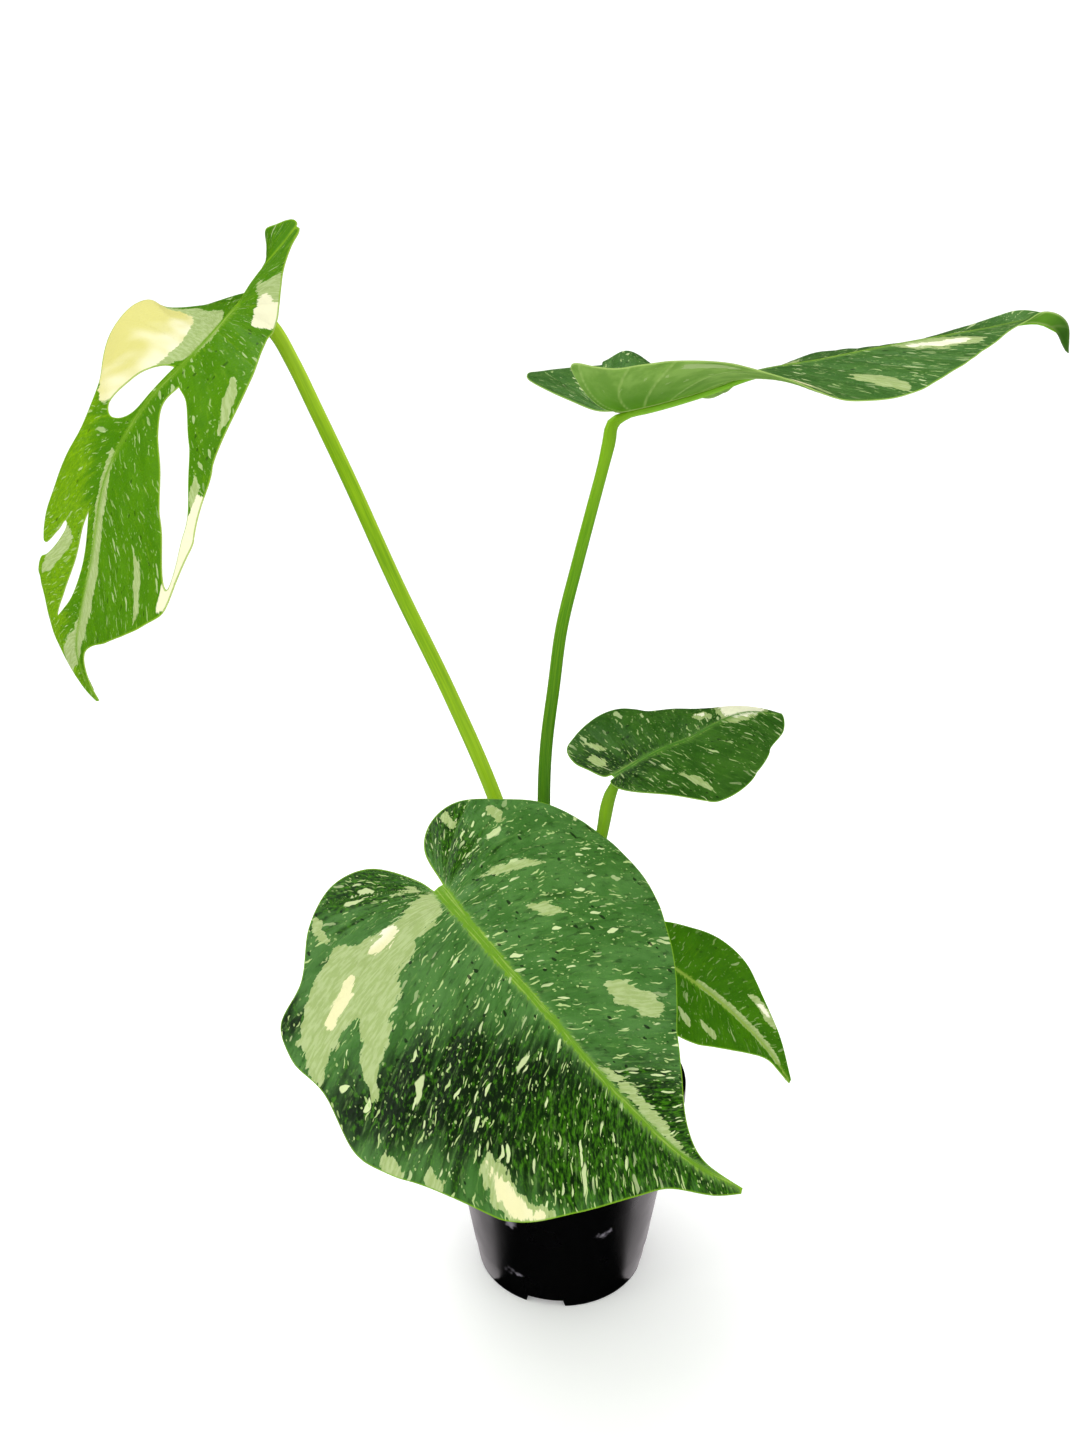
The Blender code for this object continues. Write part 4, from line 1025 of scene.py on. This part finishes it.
class Skin:
    """A material, painted layer over layer, which can read what the mesh notes at each point."""

    def __init__(self, name):
        self.material = bpy.data.materials.new(name)
        self.material.use_nodes = True
        self.tree = self.material.node_tree
        self.shader = self.tree.nodes["Principled BSDF"]

    def add(self, kind, inputs=(), **settings):
        return add(self.tree, kind, inputs, **settings)

    def note(self, name):
        """What the mesh notes under this name at each point."""
        return self.add("Attribute", attribute_name=name)["Fac"]

    def on_leaf(self):
        """The point on the flat blade, in millimetres."""
        return self.add("CombineXYZ", {"X": self.note("across"), "Y": self.note("along")})

    def in_streaks(self, number, wide, long, seed):
        """The point in cells of `wide` by `long` millimetres that run out along the side veins."""
        return self.add("CombineXYZ", {"X": number / wide, "Y": self.note("vein_travel") / long, "Z": seed})

    def flow(self, wide, long, seed, detail=3.0):
        """Streaks that run out along the side veins, `wide` by `long` millimetres."""
        place = self.in_streaks(self.note("vein_number"), wide, long, seed)
        return self.add("TexNoise", {"Vector": place, "Scale": 1.0, "Detail": detail, "Roughness": 0.6})

    def flecks(self, wide, long, size, seed):
        """Separate flecks, each in a cell of `wide` by `long` millimetres, of mixed sizes."""
        sway = self.add("TexNoise", {"Vector": self.on_leaf(), "Scale": 0.12, "Detail": 2.0})
        place = self.in_streaks(self.note("vein_number") + sway * 5.0, wide, long, seed)
        cells = self.add("TexVoronoi", {"Vector": place, "Scale": 1.0})
        chance = self.add("SeparateColor", {"Color": cells["Color"]})["Red"]
        reach = self.add("MapRange", (chance, 1.0 - size, 1.0, 0.0, 0.42), **SOFT)
        return self.add("MapRange", (reach - cells, -0.02, 0.06), **SOFT)

    def patches(self, ragged):
        """How much of each point is sage and how much cream: the marked shapes, with fingers torn out
        along the veins by about a quarter of `ragged` millimetres, and a crumbled edge."""
        shift = (self.flow(2.2, 8.0, 3.0) - 0.5) * ragged + (self.flow(0.8, 1.6, 8.0, 2.0) - 0.5) * 1.6
        sage = self.add("MapRange", (self.note("sage") + shift, -0.1, 0.25), **SOFT)
        cream = self.add("MapRange", (self.note("cream") + shift, -0.1, 0.5), **SOFT)
        return sage, cream

    def lay(self, share, code):
        """Paints a colour over the layers so far."""
        self.paint = self.add("MixRGB", (share, self.paint, code))

    def finish(self, height, strength, distance, **constants):
        """Gives the shader its paint, its constants, and a bump of `distance` metres."""
        bump = self.add("Bump", {"Height": height, "Strength": strength, "Distance": distance})
        inputs = {name.replace("_", " "): value for name, value in constants.items()}
        fill(self.shader, {"Base Color": self.paint, "Normal": bump, **inputs})
        return self.material

    def let_light_through(self, share):
        """A leaf glows a little where light falls on its other side."""
        glow = self.add("BsdfTranslucent", {"Color": self.paint})
        mixed = self.add("MixShader", {0: share, 1: Wire(self.shader.outputs["BSDF"]), 2: glow})
        fill(self.tree.nodes["Material Output"], {"Surface": mixed})


def leaf_face(name, greens, creams, rib, flecked, ragged, rim, sheen):
    """The waxy upper skin: greens that deepen and brighten over the leaf, sage and cream marks torn
    along the veins, pale flecks and dashes that run with them, a bright midrib and a thin margin."""
    skin = Skin(name)
    deep, green, bright, dark, lush, vivid = greens
    cloud = skin.add("MapRange", (skin.flow(9.0, 18.0, 1.0), 0.38, 0.64), **SOFT)
    skin.paint = skin.add("MixRGB", (cloud, deep, green))
    mottle = skin.flow(1.1, 2.8, 41.0, 4.0)
    region = (skin.flow(9.0, 26.0, 6.0, 2.0) - 0.5) * 22.0 + (skin.flow(2.2, 24.0, 43.0, 2.0) - 0.5) * 26.0
    # Painted shade: where a leaf is marked dark it turns to its darkest green, speckled with its vivid one.
    shade = skin.add("MapRange", (skin.note("dark") + region, -12.0, 6.0, 0.0, 0.96), **SOFT)
    lit_up = skin.add("MapRange", (mottle, 0.50, 0.68, 0.0, 0.85), **SOFT)
    skin.lay(shade, skin.add("MixRGB", (lit_up, dark, vivid)))
    # Where a leaf is marked vivid it turns more saturated; on the upper left leaf this is a painted glow of
    # light through the blade.
    glow = skin.add("MapRange", (skin.note("vivid") + region, -9.0, 4.0, 0.0, 0.92), **SOFT)
    skin.lay(glow, skin.add("MixRGB", (skin.add("MapRange", (mottle, 0.38, 0.70), **SOFT), lush, vivid)))
    skin.lay(skin.add("MapRange", (skin.flow(1.3, 8.0, 5.0), 0.56, 0.72, 0.0, 0.4), **SOFT), bright)
    # Painted shade: darker streaks along the veins, as of small shadows beside the flecks.
    streaks = skin.flow(1.5, 5.0, 37.0)
    skin.lay(skin.add("MapRange", (streaks, 0.52, 0.72, 0.0, 0.5 * flecked), **SOFT), dark)
    near = skin.note("vein_near")
    skin.lay(skin.add("MapRange", (near, 0.1, 0.5, 0.22, 0.0), **SOFT), bright)
    crowd = skin.add("MapRange", (skin.flow(14.0, 26.0, 11.0, 1.0), 0.40, 0.60, 0.35, 1.0), **SOFT)
    crowd = skin.add("Math", (crowd, shade), operation="MAXIMUM")
    # Dashes and dots crowd together and in the painted shade. Thin lines, pits and splashes lie anywhere.
    for wide, long, size, seed, share, code in (
        (1.5, 6.5, 0.34, 1.0, crowd * flecked, "#d6e6a8"),
        (0.8, 1.4, 0.36, 4.0, crowd * (0.8 * flecked), "#b8d384"),
        (0.7, 6.0, 0.26, 19.0, 0.85 * flecked, "#c3da8e"),
        (2.0, 2.0, 0.10, 31.0, 0.85 * flecked, "#10240a"),
        (3.2, 13.0, 0.12, 9.0, 0.9 * flecked, "#d2e2a4"),
    ):
        skin.lay(skin.flecks(wide, long, size, seed) * share, code)
    sage, cream = skin.patches(ragged)
    brushed = skin.add("MapRange", (skin.flow(0.9, 6.0, 14.0, 2.0), 0.42, 0.60), **SOFT)
    skin.lay(sage * 0.96, skin.add("MixRGB", (brushed, "#a5ba73", "#b7c98a")))
    outward = skin.note("across") + skin.flow(7.0, 22.0, 17.0, 1.0) * 70.0
    skin.lay(cream, skin.add("MixRGB", (skin.add("MapRange", (outward, 78.0, 40.0), **SOFT), *creams)))
    paint_midrib(skin, rib, bright)
    skin.lay(skin.add("MapRange", (skin.note("edge"), 0.1, 0.6, 0.85, 0.0), **SOFT), rim)
    # Waxy swells of about 3 mm, and dimples of 1.2 mm: the skin's real cells are too fine to show.
    grain = skin.add("TexNoise", {"Vector": skin.on_leaf(), "Scale": 0.3, "Detail": 4.0})
    leather = skin.add("TexVoronoi", {"Vector": skin.on_leaf(), "Scale": 0.8})
    height = grain + leather * 0.5 + skin.add("MapRange", (near, 0.0, 0.7), **SOFT) * 0.5
    skin.let_light_through(0.14)
    dull = skin.add("MapRange", (skin.flow(3.0, 8.0, 21.0), 0.3, 0.7, 0.30, 0.40), **SOFT)
    return skin.finish(height, 0.5, 0.0005, Roughness=dull, IOR=1.45, Specular_IOR_Level=sheen)


def paint_midrib(skin, rib, glow):
    """The midrib on the upper skin: a soft glow either side, then a frayed band with fine pale lines."""
    depth = skin.note("midrib") + (skin.flow(1.2, 5.0, 23.0, 2.0) - 0.5) * 3.5
    skin.lay(skin.add("MapRange", (depth, -1.8, 0.0, 0.0, 0.4), **SOFT), glow)
    # The lines are about 0.6 mm wide and 14 mm long.
    place = skin.add("CombineXYZ", {"X": skin.note("across") * 1.6, "Y": skin.note("along") * 0.07})
    line = skin.add("TexNoise", {"Vector": place, "Scale": 1.0, "Detail": 3.0})
    line = skin.add("MapRange", (line, 0.50, 0.62, 0.0, 0.45), **SOFT)
    band = skin.add("MapRange", (depth, -0.6, 0.5, 0.0, 0.9), **SOFT)
    skin.lay(band, skin.add("MixRGB", (line, rib, "#b4cf62")))


def leaf_back(name, deep, green, rib, heart, tip):
    """The matt, paler underside, greener around the joint and toward a long tip, with its veins standing
    out and the marks showing through."""
    skin = Skin(name)
    cloud = skin.add("MapRange", (skin.flow(6.0, 20.0, 2.0), 0.38, 0.64), **SOFT)
    skin.paint = skin.add("MixRGB", (cloud, deep, green))
    sage, cream = skin.patches(6.0)
    skin.lay(skin.flecks(1.5, 7.5, 0.28, 1.0) * 0.45, "#c0d68c")
    skin.lay(sage * 0.7, "#b3c987")
    skin.lay(cream * 0.9, "#ece9b0")
    from_joint = skin.add("VectorMath", {0: skin.on_leaf()}, operation="LENGTH")["Value"]
    skin.lay(skin.add("MapRange", (from_joint, 5.0, 58.0, 0.95, 0.0), **SOFT), heart)
    skin.lay(skin.add("MapRange", (from_joint, 112.0, 140.0, 0.0, 0.85), **SOFT), heart)
    skin.lay(skin.add("MapRange", (skin.note("vein_near"), 0.1, 0.9, 0.4, 0.0), **SOFT), rib)
    skin.lay(skin.add("MapRange", (skin.note("midrib"), -0.5, 0.5), **SOFT) * 0.9, rib)
    skin.lay(skin.add("MapRange", (skin.note("edge"), 0.1, 0.7, 0.7, 0.0), **SOFT), rib)
    skin.lay(skin.add("MapRange", (skin.note("along"), 160.0, 170.0, 0.0, 0.85), **SOFT), tip)
    skin.let_light_through(0.22)
    # A dull bloom in grains of 1 mm: the real one is too fine to show.
    grain = skin.add("TexNoise", {"Vector": skin.on_leaf(), "Scale": 1.0, "Detail": 2.0})
    return skin.finish(grain, 0.25, 0.0002, Roughness=0.58, IOR=1.4, Specular_IOR_Level=0.3)


def stalk_skin(name, deep, green, stripe, foot, under):
    """Smooth, slightly shiny yellow-green, with a paler channel and fine lines along it."""
    skin = Skin(name)
    turn, way, from_joint = skin.note("round"), skin.note("travel"), skin.note("rib")
    # On a stalk of this radius the lines are about 0.5 mm wide, and they are 26 mm long.
    place = skin.add("CombineXYZ", {"X": turn * 5.0, "Y": way / 26.0})
    line = skin.add("TexNoise", {"Vector": place, "Scale": 1.0, "Detail": 4.0})
    skin.paint = skin.add("MixRGB", (skin.add("MapRange", (line, 0.35, 0.65), **SOFT), deep, green))
    skin.lay(skin.add("MapRange", (turn, 0.15, 0.75, 0.55, 0.0), **SOFT), stripe)
    skin.lay(skin.add("MapRange", (way, 60.0, 240.0, 0.75, 0.0), **SOFT), foot)
    dashes = skin.add("TexVoronoi", {"Vector": place, "Scale": 3.1})
    skin.lay(skin.add("MapRange", (dashes, 0.04, 0.12, 0.35, 0.0), **SOFT), stripe)
    skin.lay(skin.add("MapRange", (from_joint, -70.0, 0.0, 0.0, 0.5), **SOFT), stripe)
    skin.lay(skin.add("MapRange", (from_joint, -4.0, 20.0), **SOFT), under)
    dull = skin.add("MapRange", (line, 0.3, 0.7, 0.32, 0.42), **SOFT)
    return skin.finish(line, 0.25, 0.0003, Roughness=dull, Specular_IOR_Level=0.2)


def stem_bark():
    """Green-brown stem skin with tan, dry rings where old leaves fell."""
    skin = Skin("stem_skin_ringed")
    # Blotches of about 6 mm
    blotch = skin.add("TexNoise", {"Vector": skin.add("TexCoord")["Object"], "Scale": 160.0, "Detail": 5.0})
    tone = skin.add("MapRange", (blotch, 0.35, 0.65), **SOFT)
    skin.paint = skin.add("MixRGB", (tone, "#4f6a2a", "#7d8f45"))
    scar = skin.note("scar") + (blotch - 0.5) * 1.2
    skin.lay(skin.add("MapRange", (scar, 0.35, 0.95), **SOFT), "#a08a5e")
    return skin.finish(blotch, 0.6, 0.0005, Roughness=0.62)


def pot_plastic():
    """Thin black polypropylene with a satin gloss: a faint moulded grain and a few dull scuffs."""
    skin = Skin("black_polypropylene")
    # Scuffs in cells 21 mm wide and 10 mm tall with edges torn by 4 mm, and smears of 18 mm. The
    # moulded grain is 1 mm, coarser than the real one, which is too fine to show.
    place = skin.add("TexCoord")["Object"]
    ragged = skin.add("TexNoise", {"Vector": place, "Scale": 260.0, "Detail": 3.0})
    spread = skin.add("Mapping", {"Vector": place, "Scale": (48.0, 48.0, 105.0)})
    spots = skin.add("TexVoronoi", {"Vector": spread, "Scale": 1.0})
    chance = skin.add("SeparateColor", {"Color": spots["Color"]})["Red"]
    reach = skin.add("MapRange", (chance, 0.66, 1.0, -0.3, 0.12), **SOFT)
    worn = skin.add("MapRange", (reach + ragged * 0.6 - spots, 0.0, 0.16), **SOFT)
    skin.paint = skin.add("MixRGB", (worn, "#060607", "#77727c"))
    smear = skin.add("TexNoise", {"Vector": place, "Scale": 55.0, "Detail": 4.0})
    dull = skin.add("MapRange", (smear, 0.35, 0.7, 0.27, 0.36), **SOFT) + worn * 0.25
    grain = skin.add("TexNoise", {"Vector": place, "Scale": 900.0, "Detail": 2.0})
    return skin.finish(grain, 0.12, 0.0002, Roughness=dull, IOR=1.49)


def damp_crumb():
    """Dark, damp peat crumb between the chips."""
    skin = Skin("damp_peat")
    # Crumbs of about 2.4 mm, each broken up more finely
    place = skin.add("TexCoord")["Object"]
    crumb = skin.add("TexNoise", {"Vector": place, "Scale": 420.0, "Detail": 6.0, "Roughness": 0.7})
    tone = skin.add("MapRange", (crumb, 0.35, 0.68), **SOFT)
    skin.paint = skin.add("MixRGB", (tone, "#1d130d", "#4b3524"))
    return skin.finish(crumb, 1.0, 0.0012, Roughness=0.92)


def bark_chip():
    """Bark chips from dark to fox brown, and white grains of perlite where the tone is full."""
    skin = Skin("bark_and_perlite")
    tone = skin.note("tone")
    # Fibres and flakes of 1.4 mm, coarser than the real ones, which are too fine to show
    fibre = skin.add("TexNoise", {"Vector": skin.add("TexCoord")["Object"], "Scale": 700.0, "Detail": 4.0})
    skin.paint = skin.add("MixRGB", (skin.add("MapRange", (tone, 0.0, 0.6), **SOFT), "#35220f", "#7a4f2c"))
    skin.lay(skin.add("MapRange", (fibre, 0.45, 0.75, 0.0, 0.7), **SOFT), "#1e130c")
    skin.lay(skin.add("MapRange", (tone, 0.8, 0.95), **SOFT), "#d9d6cc")
    return skin.finish(fibre, 0.8, 0.0006, Roughness=0.85)


def studio():
    """A pale seamless floor, soft lamps above and beside it, and the camera."""
    shape = bmesh.new()
    bmesh.ops.create_grid(shape, x_segments=1, y_segments=1, size=6.0)
    far = [e for e in shape.edges if all(v.co.y > 1 for v in e.verts)]
    wall = bmesh.ops.extrude_edge_only(shape, edges=far)["geom"]
    wall = [g for g in wall if isinstance(g, bmesh.types.BMVert)]
    bmesh.ops.translate(shape, verts=wall, vec=(0, 0, 6.0))
    bmesh.ops.translate(shape, verts=shape.verts, vec=(0, -2.5, 0))
    fold = [e for e in shape.edges if len(e.link_faces) == 2]
    bmesh.ops.bevel(shape, geom=fold, offset=1.0, segments=12, profile=0.5, affect="EDGES", material=-1)
    bmesh.ops.recalc_face_normals(shape, faces=shape.faces)
    for face in shape.faces:
        face.smooth = True
    floor = make_object("floor", shape)
    floor.data.materials.append(lit("paper_floor", "#fafafa", 0.9, "#ffffff", 0.17))
    floor.visible_glossy = False
    world = bpy.data.worlds.new("studio")
    world.use_nodes = True
    fill(world.node_tree.nodes["Background"], {"Color": "#ffffff", "Strength": 1.0})
    world.cycles_visibility.glossy = False
    bpy.context.scene.world = world
    bpy.context.scene.view_settings.view_transform = "Standard"
    lamp("overhead", (-0.25, 0.15, 1.45), (0.0, -0.05, 0.2), 1.1, 0.9, 7.0)
    lamp("left", (-1.15, -0.55, 0.75), (0.0, 0.0, 0.2), 0.35, 1.2, 2.5)
    lamp("right", (1.15, -0.60, 0.60), (0.0, 0.0, 0.2), 0.35, 1.2, 2.0)
    reflector("reflector_left", -0.220, -0.030)
    reflector("reflector_right", 0.030, 0.220)
    camera = bpy.data.objects.new("camera", bpy.data.cameras.new("camera"))
    bpy.context.scene.collection.objects.link(camera)
    camera.location = CAMERA_PLACE
    camera.rotation_euler = (math.radians(90 - CAMERA_DOWN), 0.0, 0.0)
    camera.data.lens = CAMERA_LENS
    camera.data.sensor_width = CAMERA_SENSOR
    camera.data.clip_start = 0.01
    bpy.context.scene.camera = camera


def lit(name, base, roughness, glow, strength):
    """Plain matt paper that also glows a little by itself."""
    skin = Skin(name)
    fill(skin.shader, {"Base Color": base, "Roughness": roughness})
    fill(skin.shader, {"Emission Color": glow, "Emission Strength": strength})
    return skin.material


def reflector(name, left, right):
    """A bright strip on the floor beside and behind the pot, seen only as a sheen on its sides."""
    shape = bmesh.new()
    bmesh.ops.create_grid(shape, x_segments=1, y_segments=1, size=0.5)
    bmesh.ops.scale(shape, verts=shape.verts, vec=(right - left, 0.30, 1.0))
    bmesh.ops.translate(shape, verts=shape.verts, vec=((left + right) / 2, 0.124, 0.001))
    strip = make_object(name, shape)
    material = lit(name, "#000000", 0.5, "#fff8fb", 1.0)
    material.cycles.emission_sampling = "NONE"
    strip.data.materials.append(material)
    strip.visible_camera = False
    strip.visible_diffuse = False
    strip.visible_transmission = False
    strip.visible_shadow = False


def lamp(name, place, target, width, height, power):
    """A soft rectangular lamp that faces its target."""
    light = bpy.data.lights.new(name, "AREA")
    light.shape = "RECTANGLE"
    light.size = width
    light.size_y = height
    light.energy = power
    made = bpy.data.objects.new(name, light)
    bpy.context.scene.collection.objects.link(made)
    made.location = place
    made.rotation_euler = (Vector(target) - Vector(place)).to_track_quat("-Z", "Y").to_euler()


# The two tones of a cream mark: yellower on the young leaf than on the grown ones
YOUNG_CREAMS = ("#dad582", "#f3f0cc")
GROWN_CREAMS = ("#efecb8", "#fbfadf")


def main():
    young_back = leaf_back("leaf_back_young", "#74a01c", "#8ab434", "#bcd070", "#6a9c0c", "#4e7c08")
    grown_back = leaf_back("leaf_back_grown", "#78a83a", "#90bc50", "#b4d074", "#569400", "#2c5e06")
    young_stalk = stalk_skin("stalk_skin_young", "#6c9c00", "#88b400", "#b4d434", "#98bf24", "#8ab434")
    grown_stalk = stalk_skin("stalk_skin_grown", "#4e8a00", "#6aa004", "#8cba14", "#28580f", "#7cb428")
    for leaf in LEAVES:
        young = leaf is UPPER_LEFT
        creams = YOUNG_CREAMS if young else GROWN_CREAMS
        face = leaf_face("leaf_face_" + leaf["name"], leaf["greens"], creams, *leaf["look"])
        make_blade(leaf, (face, young_back if young else grown_back))
        make_stalk(leaf, young_stalk if young else grown_stalk)
    make_stem(stem_bark())
    make_mix(damp_crumb(), bark_chip())
    make_pot(pot_plastic())
    studio()


main()
